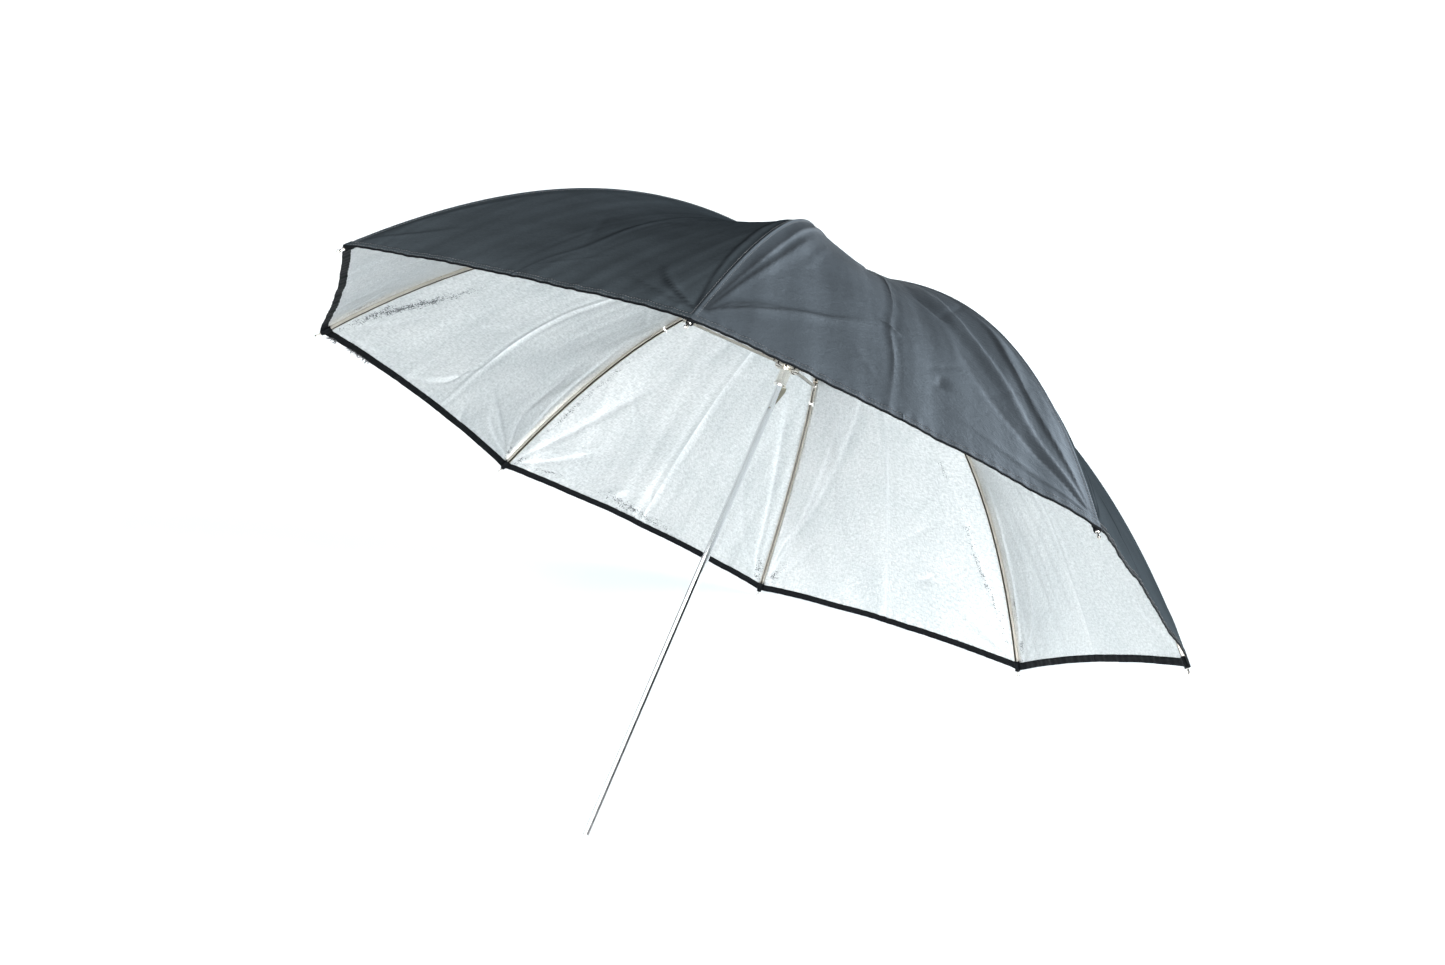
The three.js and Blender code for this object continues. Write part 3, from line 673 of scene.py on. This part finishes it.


# every other gore takes a glossier copy of the cloth with a lighter base colour and the others a matte copy with a
# darker one: lit and shaded copies of one cloth, painted light and shade
SATIN_LIT = make_outer("taffeta_black_satin", .17, (.0312, .0385, .0450))
OUTER = make_outer("taffeta_black", .0, (.0252, .0312, .0354), hem_light_paint=1.42)
SILVER, BINDING = make_silver(), make_binding()
CHROME = make_metal("chrome_plate", (.86, .875, .885), .12, vary=.03, wear_amount=.12, grain=.05)
NICKEL = make_metal("nickel_plate", (.58, .56, .525), .22, vary=.08, wear_amount=.4, occlusion_shade=.6)
STEEL = make_metal("rib_steel", (.50, .465, .41), .30, vary=.15, wear=(.09, .08, .07), wear_amount=.5, grain=.2, occlusion_shade=.9)
RUNNER = make_metal("runner_plate", (.90, .865, .80), .16, vary=.04, wear_amount=.15, grain=.06, occlusion_shade=.5)
CATCH = make_metal("spring_steel", (.205, .20, .16), .42, vary=.12, wear=(.16, .15, .12), wear_amount=.5, grain=.3)
PLASTIC = make_plain("cap_plastic_black", (.018, .018, .020), .42, grain_scale=.7, grain=.2)
THREAD = make_plain("white_thread", (.82, .83, .82), .75, grain_scale=2.2, grain=.6, vary=.06, sheen=.3)
DARK_THREAD = make_plain("black_thread", (.016, .018, .021), .6, grain_scale=2.2, grain=.6, vary=.2, sheen=.3)

for name, mat in {
    "shaft_tube": CHROME, "shaft_end_plug": CHROME, "runner_sleeve": RUNNER, "crown_notch": NICKEL, "runner_notch": STEEL,
    "catch_pivot_pin": STEEL, "runner_stop_pin": STEEL, "crown_wire_ring": STEEL, "catch_spring": CATCH, "crown_cap": PLASTIC, "crown_patch": OUTER,
}.items():
    me = NODES[name].data
    me.materials.clear()
    me.materials.append(mat)
for k in range(1, 9):
    for name, mat in ((f"rib_{k}", STEEL), (f"stretcher_{k}", STEEL), (f"rib_tip_{k}", NICKEL), (f"rib_clip_{k}", NICKEL)):
        me = NODES[name].data
        me.materials.clear()
        me.materials.append(mat)

# ---------------------------------------------------------------- canopy panels
COLS, ROWS = ((60, 168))
u = np.linspace(0, 1, COLS + 1)
half_cols = 0.5 * (u - .60 * np.sin(2 * np.pi * u) / (2 * np.pi))
arc_rows = np.concatenate([np.linspace(ARC(9.3), ARC(60), 22)[:-1], np.linspace(ARC(60), ARC(488), ROWS - 32)[:-1], np.linspace(ARC(488), ARC(500), 11)])
radii = R_OF_ARC(arc_rows)
nr = len(radii)

WEAR_SPOTS = {   # gore: lines along which the silver has rubbed thin, with a half width in mm, and how far where it isn't all the way
    1: [([(492, .97), (440, .955)], 6, .9)],
    2: [([(490, .03), (459, .055), (424, .10), (380, .14)], 7), ([(484, .04), (440, .04)], 5, .9), ([(496, .985), (478, .965)], 5, .85)],
    3: [([(485, .31), (488, .46), (489, .62)], 11, .84), ([(494, .35), (496, .51), (496, .66)], 6, .9), ([(492, .04), (488, .14), (484, .22)], 4, .85), ([(470, .03), (400, .035), (330, .04)], 4, .78), ([(496, .985), (470, .965)], 7, .82), ([(496, .02), (482, .04)], 5, .85)],
    4: [([(359, .87), (411, .895), (461, .955), (486, .97)], 6, .80), ([(330, .84), (300, .83)], 5, .74), ([(496, .02), (470, .065)], 8, .78)],
    5: [([(470, .03), (420, .035)], 4, .8), ([(496, .02), (474, .045)], 7, .82)],
    6: [([(480, .03), (440, .03)], 4)],
    7: [([(480, .03), (440, .03)], 4)],
    8: [([(480, .97), (440, .97)], 4)],
}


def wear_of(k, r, s):
    k = (k - 1) % 8 + 1
    X, Y = flat_xy(r, s)
    w = np.zeros(X.shape)
    for line, width, *share in WEAR_SPOTS[k]:
        d, t = along(X, Y, curve_points(line))
        w = np.maximum(w, np.exp(-(d / width) ** 2) * (.45 + .55 * np.sin(np.pi * np.clip(t, .02, .98))) * (share[0] if share else 1))
    edge = ARC(RIM_R) - Y
    w = np.maximum(w, .30 * np.exp(-((edge - 8) / 4.0) ** 2))
    return w


def grid_normals(P):
    a = np.gradient(P, axis=0)
    b = np.gradient(P, axis=1)
    n = np.cross(a, b)
    n /= np.maximum(np.linalg.norm(n, axis=-1, keepdims=True), 1e-12)
    return n


gore_area = 0.0
for k in range(1, 9):
    step = half_cols[-1] - half_cols[-2]
    t = np.concatenate([half_cols, [half_cols[-1] + step]])
    sides = {}
    for sgn in (-1, 1):
        T, R = np.meshgrid(t, radii)
        gore, s = (k, T) if sgn > 0 else (k - 1, 1 - T)
        inner, outer, n, crease = cloth(gore, R, s)
        sides[sgn] = (inner, outer, n, crease, wear_of(gore, R, s), T * CHORD * R * sgn, ARC(R))
    both = [np.concatenate([sides[-1][i][:, :0:-1], sides[1][i]], axis=1) for i in range(7)]
    inner, outer, n, crease, wear, ux, uy = both
    nrm_in, nrm_out = grid_normals(to_row(inner)), grid_normals(to_row(outer))
    up = turn_row(n)
    nrm_in *= np.sign(np.sum(nrm_in * up, -1, keepdims=True))
    nrm_out *= np.sign(np.sum(nrm_out * up, -1, keepdims=True))
    cut = slice(1, -1)                                  # the outermost column each side only serves the normals
    inner, outer, nrm_in, nrm_out = inner[:, cut], outer[:, cut], nrm_in[:, cut], nrm_out[:, cut]
    crease, wear, ux, uy = crease[:, cut], wear[:, cut], ux[:, cut], uy[:, cut]
    nc = inner.shape[1]
    i, j = np.meshgrid(np.arange(nr - 1), np.arange(nc - 1), indexing="ij")
    a = (i * nc + j).ravel()
    quads = np.stack([a, a + 1, a + nc + 1, a + nc], 1)
    # outward: the outer face's winding is set from its own geometry
    P = to_row(outer).reshape(-1, 3)
    q = quads[len(quads) // 2 + nc // 4]
    face_n = np.cross(P[q[1]] - P[q[0]], P[q[2]] - P[q[0]])
    up_cut = up[:, cut]
    if face_n @ up_cut.reshape(-1, 3)[q[0]] < 0:
        quads = quads[:, [0, 3, 2, 1]]
    N0 = nr * nc
    # painted light and shade on the folds: each face's tilt against a fixed light direction, from the upper left front
    # for the inner face and from the right behind for the outer, becomes a tone that the materials multiply into the
    # colour
    lean_in = -nrm_in + up_cut * np.sum(nrm_in * up_cut, -1, keepdims=True)
    fold_light_paint = np.clip(.5 + 1.15 * (lean_in @ np.array([-.72, -.35, .60])), 0, 1)
    lean_out = nrm_out - up_cut * np.sum(nrm_out * up_cut, -1, keepdims=True)
    fold_light_paint_out = np.clip(.5 + 1.30 * (lean_out @ np.array([.50, .60, .62])), 0, 1)
    faces = [quads, quads[:, [0, 3, 2, 1]] + N0]
    rim = []
    c = np.arange(nc - 1)
    r_ = np.arange(nr - 1)
    for line in (np.arange(nc), (nr - 1) * nc + np.arange(nc), np.arange(nr) * nc, np.arange(nr) * nc + nc - 1):
        rim.append(np.stack([line[:-1], line[1:], line[1:] + N0, line[:-1] + N0], 1))
    # consistent rims: walk them against the outer quads
    taken = set()
    for c0 in range(4):
        taken.update((quads[:, c0].astype(np.int64) * 1000000 + quads[:, (c0 + 1) % 4]).tolist())
    fixed = np.array([f[::-1] if int(f[0]) * 1000000 + int(f[1]) in taken else f for block in rim for f in block])
    faces.append(fixed)
    allf = np.vstack(faces)
    mid_col = (nc - 1) // 2
    own = (j.ravel() >= mid_col)                        # faces on gore k; the others are on gore k-1
    # gores on the lighter, glossier copy of the cloth: painted light
    lit_gores = (own & (k % 2 == 1)) | (~own & ((k - 1) % 2 == 1))
    index = np.concatenate([np.where(lit_gores, 2, 0), np.ones(len(quads)), np.zeros(len(fixed))])
    verts = np.vstack([to_row(outer).reshape(-1, 3), to_row(inner).reshape(-1, 3)])
    normals = np.vstack([nrm_out.reshape(-1, 3), -nrm_in.reshape(-1, 3)])
    uv = np.stack([ux.ravel(), uy.ravel()], 1) * MM + np.array([.4 * k, 0])
    # on the outer face the wear attribute holds the closeness to the hem, which the matte copy uses as painted light,
    # paler towards the hem; on the inner face it is the real wear of the silver
    panel = new_object(f"canopy_cloth_{k}", verts, allf, [OUTER, SILVER, SATIN_LIT], index=index, uv=np.vstack([uv, uv]),
                       attrs={"crease": np.tile(crease.ravel(), 2), "wear": np.concatenate([np.exp(-np.maximum(ARC(RIM_R) - uy, 0) / 80).ravel(), wear.ravel()]), "fold_light_paint": np.concatenate([fold_light_paint_out.ravel(), fold_light_paint.ravel()])}, normals=normals)

    # ---- the seam's doubled cloth: inside the panel's thickness while the umbrella is open; it keeps its width
    # when the panel is drawn in, and so closes over the folded rib and meets its neighbours
    core = (inner + outer) / 2
    sg, cg = math.sin(rib_angle(k)), math.cos(rib_angle(k))
    da, dz = core[..., 0] * sg + core[..., 1] * cg - 11.0, core[..., 2] - CROWN_PIVOT_Z
    across = np.abs(core[..., 0] * cg - core[..., 1] * sg)
    reach = 11.0 + .5 * da + math.sqrt(.75) * dz        # from the shaft, once the rib is folded in by 60 degrees
    kept = ((np.degrees(np.arctan2(across, reach)) < 24.8) & (radii > 30)[:, None]).ravel()
    pick = kept[quads].all(axis=1)
    q_in = quads[pick]
    used = np.unique(q_in)
    renum = np.full(N0, -1)
    renum[used] = np.arange(len(used))
    q_in = renum[q_in]
    E = np.vstack([q_in[:, [c0, (c0 + 1) % 4]] for c0 in range(4)]).astype(np.int64)
    lone = E[~np.isin(E[:, 1] * 1000000 + E[:, 0], E[:, 0] * 1000000 + E[:, 1])]
    m0 = len(used)
    strip_faces = np.vstack([q_in, q_in[:, [0, 3, 2, 1]] + m0, np.stack([lone[:, 1], lone[:, 0], lone[:, 0] + m0, lone[:, 1] + m0], 1)])
    strip_v = np.vstack([to_row(inner * w_ + outer * (1 - w_)).reshape(-1, 3)[used] for w_ in (.35, .65)])
    strip_index = np.concatenate([np.where(lit_gores, 2, 0)[pick], np.ones(len(q_in)), np.zeros(len(lone))])
    doubled = new_object(f"seam_cloth_{k}", strip_v, strip_faces, [OUTER, SILVER, SATIN_LIT], index=strip_index, uv=np.tile(uv[used], (2, 1)),
                         attrs={"crease": np.tile(crease.ravel()[used], 2), "wear": np.zeros(2 * m0), "fold_light_paint": np.concatenate([fold_light_paint_out.ravel()[used], fold_light_paint.ravel()[used]])},
                         normals=np.vstack([nrm_out.reshape(-1, 3)[used], -nrm_in.reshape(-1, 3)[used]]))
    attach(doubled, f"rib_arm_{k}")

    # ---- hem: a black binding folded round the cloth's edge
    hr = 500 - np.array([5.5, 5.3, 3.2, .55, 0, 0, 0, .55, 3.2, 5.1, 5.25])      # radii of the section's points
    ho = np.array([.10, .42, .50, .46, .32, 0, -.34, -.50, -.58, -.50, -.10])      # beyond the cloth's faces: + outside, - inside
    edge_out = np.array([0, 0, 0, 0, .55, .95, .55, 0, 0, 0, 0])                   # how far past the cloth's edge
    tt = np.concatenate([np.linspace(0, .03, 7)[:-1], np.linspace(.03, .5, 84)])
    rows = []
    for sgn in (-1, 1):
        T, R = np.meshgrid(tt, hr, indexing="ij")
        gore, s = (k, T) if sgn > 0 else (k - 1, 1 - T)
        ci, co, cn, _ = cloth(gore, R, s)
        mid = (ci + co) / 2
        base = np.where((ho > 0.01)[None, :, None], co, np.where((ho < -0.01)[None, :, None], ci, mid))
        out_dir = cloth(gore, R + 1.0, s)[0] - ci
        out_dir /= np.linalg.norm(out_dir, axis=-1, keepdims=True)
        wob = 1 + .10 * np.sin(T * 95 + k)
        pts = base + cn * (ho[None, :, None] * wob[..., None]) + out_dir * edge_out[None, :, None]
        rows.append(pts if sgn > 0 else pts[::-1])
    sec = np.concatenate([rows[0][:-1], rows[1]], axis=0)
    tcoord = np.concatenate([-tt[::-1][:-1], tt]) * CHORD * 500
    ns, npnt = sec.shape[:2]
    f = []
    for a_ in range(ns - 1):
        for b_ in range(npnt):
            c_ = (b_ + 1) % npnt
            f.append((a_ * npnt + b_, a_ * npnt + c_, (a_ + 1) * npnt + c_, (a_ + 1) * npnt + b_))
    f.append(tuple(range(npnt)))
    f.append(tuple(range(ns * npnt - 1, (ns - 1) * npnt - 1, -1)))
    V = to_row(sec).reshape(-1, 3)
    vol = sum(np.dot(V[q[0]], np.cross(V[q[1]], V[q[2]])) + (np.dot(V[q[0]], np.cross(V[q[2]], V[q[3]])) if len(q) > 3 else 0) for q in f[:ns * npnt])
    if vol < 0:
        f = [q[::-1] for q in f]
    seclen = np.cumsum(np.concatenate([[0], np.linalg.norm(np.diff(sec[ns // 3], axis=0), axis=1)]))
    huv = np.stack([np.repeat(tcoord, npnt), np.tile(seclen, ns)], 1) * MM
    hem_index = []
    for q in f:
        at_row, at_side = min(q) // npnt, sorted(set(x % npnt for x in q))
        turned = len(q) == 4 and max(at_side) <= 3      # the outer face of the hem is the canopy's own cloth
        own_gore = k if at_row >= len(rows[0]) - 1 else k - 1
        hem_index.append(0 if not turned or own_gore % 8 == 6 else (2 if own_gore % 2 == 1 else 1))
    # the hem's turned cloth takes the full painted light of the hem and a neutral painted fold tone
    hem = new_object(f"hem_binding_{k}", V, f, [BINDING, OUTER, SATIN_LIT], index=hem_index, uv=huv, attrs={"crease": np.zeros(len(V)), "fold_light_paint": np.full(len(V), .5), "wear": np.ones(len(V))})

    # ---- stitching: two rows on the hem, two along the seam over the rib
    spots = []
    for radius in (498.6, 495.6):
        for sgn in (-1, 1):
            d0 = np.arange(1.8, .5 * CHORD * 500 - 2.5, 3.0)
            T = np.stack([d0, d0 + 2.1], 1) / (CHORD * 500)
            spots.append((sgn, np.full(T.shape, radius), T, .46))
    for sgn in (-1, 1):
        y = np.arange(ARC(30), ARC(494), 3.3)
        R = R_OF_ARC(np.stack([y, y + 2.3], 1))
        spots.append((sgn, R, 2.4 / (CHORD * R), .02))
    starts, ends, ups = [], [], []
    for sgn, R, T, high in spots:
        gore, s = (k, T) if sgn > 0 else (k - 1, 1 - T)
        ci, co, cn, _ = cloth(gore, R, s)
        co = co + cn * high
        starts.append(co[:, 0])
        ends.append(co[:, 1])
        ups.append(cn[:, 0])
    sv, sf = stitch_rows(np.vstack(starts), np.vstack(ends), np.vstack(ups))
    if k == 2:                                          # the binding has begun to fray beside this tip
        rnd = np.random.RandomState(21)
        bits = [(sv, sf)]
        for _ in range(46):
            at = rnd.uniform(.035, .075) if rnd.rand() < .35 else rnd.uniform(.12, .215)
            p0, _o, pn, _c = cloth(k, np.array(500.2), np.array(at))
            away = cloth(k, np.array(501.2), np.array(at))[0] - p0
            away /= np.linalg.norm(away)
            side_ = cloth(k, np.array(500.2), np.array(at + .004))[0] - p0
            side_ /= np.linalg.norm(side_)
            go = away * rnd.uniform(.3, .8) + side_ * rnd.uniform(-1.3, 1.3) + pn * rnd.uniform(-.4, .4)
            go /= np.linalg.norm(go)
            curl = side_ * rnd.uniform(-1, 1) + pn * rnd.uniform(-.8, .8)
            size_ = rnd.uniform(3.5, 8.0)
            w_ = np.linspace(0, 1, 7)[:, None]
            bits.append(tube(p0 - away * .8 + go * size_ * w_ + curl * size_ * .55 * w_ ** 2, np.linspace(.85, .22, 7), 5))
        sv, sf = joined(bits)
    stitches = new_object(f"stitching_{k}", to_row(sv), sf, [DARK_THREAD])

    # ---- black corner where the cloth is sewn to the rib tip
    tabs = []
    for sgn in (-1, 1):
        aa = np.linspace(0, 1, 9)
        bb = np.linspace(0, 1, 9)
        A_, B_ = np.meshgrid(aa, bb, indexing="ij")
        R = 500 - 9.0 * A_
        width = 9.0 * (1 - A_) ** 1.3 + 1.1
        T = B_ * width / (CHORD * R)
        gore, s = (k, T) if sgn > 0 else (k - 1, 1 - T)
        ci, co, cn, _ = cloth(gore, R, s)
        top = ci - cn * .12
        low = ci - cn * (.42 - .25 * B_[..., None] ** 3)
        tabs.append((low, top))
    tv, tf = [], []
    for (low, top), sgn in zip(tabs, (-1, 1)):
        m_ = low.shape[0] * low.shape[1]
        pts = np.concatenate([low.reshape(-1, 3), top.reshape(-1, 3)])
        w_ = low.shape[1]
        ff = []
        for a_ in range(low.shape[0] - 1):
            for b_ in range(w_ - 1):
                q = (a_ * w_ + b_, a_ * w_ + b_ + 1, (a_ + 1) * w_ + b_ + 1, (a_ + 1) * w_ + b_)
                ff.append(q)
                ff.append(tuple(x + m_ for x in q[::-1]))
        ring = [b_ for b_ in range(w_)] + [a_ * w_ + w_ - 1 for a_ in range(1, low.shape[0])] + [(low.shape[0] - 1) * w_ + b_ for b_ in range(w_ - 2, -1, -1)] + [a_ * w_ for a_ in range(low.shape[0] - 2, 0, -1)]
        for x, y in zip(ring, ring[1:] + ring[:1]):
            ff.append((y, x, x + m_, y + m_))
        if sgn < 0:
            ff = [q[::-1] for q in ff]
        tv.append(pts)
        tf.append(ff)
    # the pocket that the rib's end sits in: a flat sleeve of cloth round it, open towards the crown
    stations = np.linspace(492.6, 500.6, 9)
    around = np.linspace(0, 2 * np.pi, 25)[:-1]
    walls = []
    for wall in (.5, 0.0):                              # outer skin, then inner skin
        rows_ = []
        for q, at in enumerate(stations):
            m_ = rib_slope(at)
            h_ = math.hypot(m_, 1)
            nv, mid = np.array([0, m_ / h_, 1 / h_]), np.array([0, at, rib_z(at)])
            draw = 1 + .10 * math.sin(q * 1.9 + k) - .10 * smooth(np.array(at), 496, 500.6)
            cx_, cn_ = np.cos(around), np.sin(around)
            px = np.sign(cx_) * np.abs(cx_) ** .6 * (2.75 + wall) * draw
            pn = np.sign(cn_) * np.abs(cn_) ** .6 * np.where(cn_ > 0, 1.9 + wall * .5, (2.25 + wall) * draw)
            rows_.append(mid + px[:, None] * np.array([1.0, 0, 0]) + pn[:, None] * nv)
        walls.append(np.array(rows_))
    pv = np.concatenate([walls[0].reshape(-1, 3), walls[1].reshape(-1, 3)])
    na, nr_ = len(around), len(stations)
    half_ = na * nr_
    pf = []
    for q in range(nr_ - 1):
        for w_ in range(na):
            x_, y_ = q * na + w_, q * na + (w_ + 1) % na
            pf.append((x_, y_, y_ + na, x_ + na))
            pf.append((half_ + x_, half_ + x_ + na, half_ + y_ + na, half_ + y_))
    for w_ in range(na):
        x_, y_ = w_, (w_ + 1) % na
        pf.append((x_, x_ + half_, y_ + half_, y_))
        x_, y_ = (nr_ - 1) * na + w_, (nr_ - 1) * na + (w_ + 1) % na
        pf.append((x_, y_, y_ + half_, x_ + half_))
    a0, a1, a2 = pv[pf[0][0]], pv[pf[0][1]], pv[pf[0][2]]
    mid0 = np.array([0, stations[0], rib_z(stations[0])])
    if np.dot(np.cross(a1 - a0, a2 - a0), a0 - mid0) < 0:
        pf = [q[::-1] for q in pf]
    pocket = new_object(f"rib_pocket_{k}", to_row(arm(pv, k)), pf, [BINDING], uv=pv[:, :2] * MM)
    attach(pocket, f"rib_arm_{k}")
    cv, cf = joined(list(zip(tv, tf)))
    corner = new_object(f"corner_tab_{k}", to_row(cv), cf, [BINDING], uv=np.zeros((len(cv), 2)) + cv[:, :2] * MM)

    for piece in (panel, hem, stitches, corner):
        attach(piece, f"rib_arm_{k}")
        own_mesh(piece)
    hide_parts(f"canopy_panel_{k}")
    if not gore_area:
        Pm = outer * MM
        d1, d2 = Pm[1:, 1:] - Pm[:-1, :-1], Pm[1:, :-1] - Pm[:-1, 1:]
        gore_area = float(np.linalg.norm(np.cross(d1, d2), axis=-1).sum() / 2)

    # ---- white thread ties that hold the seam to the rib
    parts = []
    rnd = np.random.RandomState(300 + k)
    for at in (268.0,):
        m_ = rib_slope(at)
        h_ = math.hypot(m_, 1)
        nv, tv_ = np.array([0, m_ / h_, 1 / h_]), np.array([0, 1 / h_, -m_ / h_])
        centre = np.array([0, at, rib_z(at)])
        pts = []
        turns = 3
        for q in range(turns * 16):
            an = q / 16 * 2 * np.pi
            cx, cn_ = math.cos(an), math.sin(an)
            e = 0.5
            px = math.copysign(abs(cx) ** e, cx) * 2.75
            pn = .25 + math.copysign(abs(cn_) ** e, cn_) * (1.5 if cn_ > 0 else 2.15)      # lower where it runs under the cloth
            pts.append(centre + np.array([px, 0, 0]) + nv * pn + tv_ * ((q / 16 - turns / 2) * .95 + .18 * math.sin(an * 1.0 + at)))
        tail = pts[-1]
        end = [tail + np.array([.4, 0, 0]) * z + nv * (-.5 * z - .12 * z * z) + tv_ * (.25 * z * rnd.uniform(.4, 1.2)) for z in (1, 2, 3)]
        parts.append(tube(np.array(pts + end), .45, 6))
    vv, ff = joined(parts)
    tie = new_object(f"thread_ties_{k}", to_row(arm(vv, k)), ff, [THREAD])
    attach(tie, f"rib_arm_{k}")

# ---------------------------------------------------------------- camera, floor and light
cam_data = bpy.data.cameras.new("camera")
cam = bpy.data.objects.new("camera", cam_data)
bpy.context.scene.collection.objects.link(cam)
right = Vector((0.82035955, 0.57141823, 0.02216807))
upv = Vector((-0.223966, 0.28538596, 0.93187664))
fwd = Vector((-0.52616484, 0.7694388, -0.36209736))
rot = Matrix((right, upv, -fwd)).transposed().to_4x4()
cam.matrix_world = Matrix.Translation((0.9307, -1.3818, 0.9659)) @ rot
cam_data.sensor_width = 36
cam_data.lens = 41.88
cam_data.clip_end = 100
bpy.context.scene.camera = cam

floor_mat, nt, b = node_mat("floor_white")
v = coords(nt, scale=(1, 1, 1))
nt.links.new(ramp(nt, noise(nt, v, 3.0, 2), [(.3, (.835, .875, .885)), (.7, (.845, .882, .892))]), b.inputs["Base Color"])
b.inputs["Roughness"].default_value = .9
b.inputs["Specular IOR Level"].default_value = .1
floor = new_object("studio_floor", [(-14, -14, 0), (14, -14, 0), (14, 14, 0), (-14, 14, 0)], [(0, 1, 2, 3)], [floor_mat], smooth_faces=False)

world = bpy.data.worlds.new("studio")
bpy.context.scene.world = world
world.use_nodes = True
wt = world.node_tree
bg = wt.nodes["Background"]
tc = wt.nodes.new("ShaderNodeTexCoord")
sep = wt.nodes.new("ShaderNodeSeparateXYZ")
wt.links.new(tc.outputs["Generated"], sep.inputs[0])
sky = ramp(wt, sep.outputs[2], [(.0, (.80, .85, .88)), (.30, (.92, .96, 1.0)), (1.0, (1.0, 1.0, 1.0))])
# the unlit side of the studio, which only polished metal shows
dot = wt.nodes.new("ShaderNodeVectorMath")
dot.operation = "DOT_PRODUCT"
dot.inputs[1].default_value = (.53, -.74, .41)
wt.links.new(tc.outputs["Generated"], dot.inputs[0])
dark = wt.nodes.new("ShaderNodeMapRange")
dark.interpolation_type = "SMOOTHSTEP"
dark.inputs["From Min"].default_value = .55
dark.inputs["From Max"].default_value = .80
wt.links.new(dot.outputs["Value"], dark.inputs[0])
room = mix_rgb(wt, math_node(wt, "MULTIPLY", dark.outputs[0], .88), sky, (.10, .11, .12))
path = wt.nodes.new("ShaderNodeLightPath")
wt.links.new(mix_rgb(wt, path.outputs["Is Camera Ray"], room, (9, 9, 9)), bg.inputs[0])
bg.inputs[1].default_value = .12


def area(name, loc, target, size, power, color=(1, 1, 1)):
    d = bpy.data.lights.new(name, "AREA")
    d.shape = "RECTANGLE"
    d.size, d.size_y = size
    d.energy = power
    d.color = color
    o = bpy.data.objects.new(name, d)
    bpy.context.scene.collection.objects.link(o)
    o.location = loc
    o.rotation_mode = "QUATERNION"
    o.rotation_quaternion = (Vector(target) - Vector(loc)).to_track_quat("-Z", "Y")
    return o


def bank(name, azimuth, elevation, strength, size=36, color=(1, 1, 1)):
    """a distant bank of light standing at this azimuth (from +X towards +Y) and elevation, in degrees"""
    d = bpy.data.lights.new(name, "SUN")
    d.energy = strength
    d.angle = math.radians(size)
    d.color = color
    o = bpy.data.objects.new(name, d)
    bpy.context.scene.collection.objects.link(o)
    e, a_ = math.radians(elevation), math.radians(azimuth)
    o.rotation_mode = "QUATERNION"
    o.rotation_quaternion = (-Vector((math.cos(e) * math.cos(a_), math.cos(e) * math.sin(a_), math.sin(e)))).to_track_quat("-Z", "Y")
    return o


def flag(light, names, lit):
    """keep a light off the named polished pieces, or, with lit, let it reach only them"""
    c = bpy.data.collections.new(light.name + "_flag")
    for name in names:
        c.objects.link(NODES[name])
    if not lit:
        for entry in c.collection_objects:
            entry.light_linking.link_state = "EXCLUDE"
    light.light_linking.receiver_collection = c


POLISHED = ("shaft_tube", "shaft_end_plug", "runner_sleeve")
flag(bank("right_bank", 0, 12, 8.4), POLISHED, False)
bank("front_bank", 270, 12, 6.75)
bank("front_right_bank", 315, 12, 2.0)
bank("top_bank", 270, 65, .8)
flag(bank("left_bank", 254, 41, 2.6, 74), POLISHED, True)
area("back_right", (1.0, 2.9, 1.3), (0, 0, .4), (1.3, .9), 64, (.76, .90, 1.05))

bpy.context.scene.view_settings.view_transform = "Standard"
bpy.context.scene.view_settings.exposure = 0.0
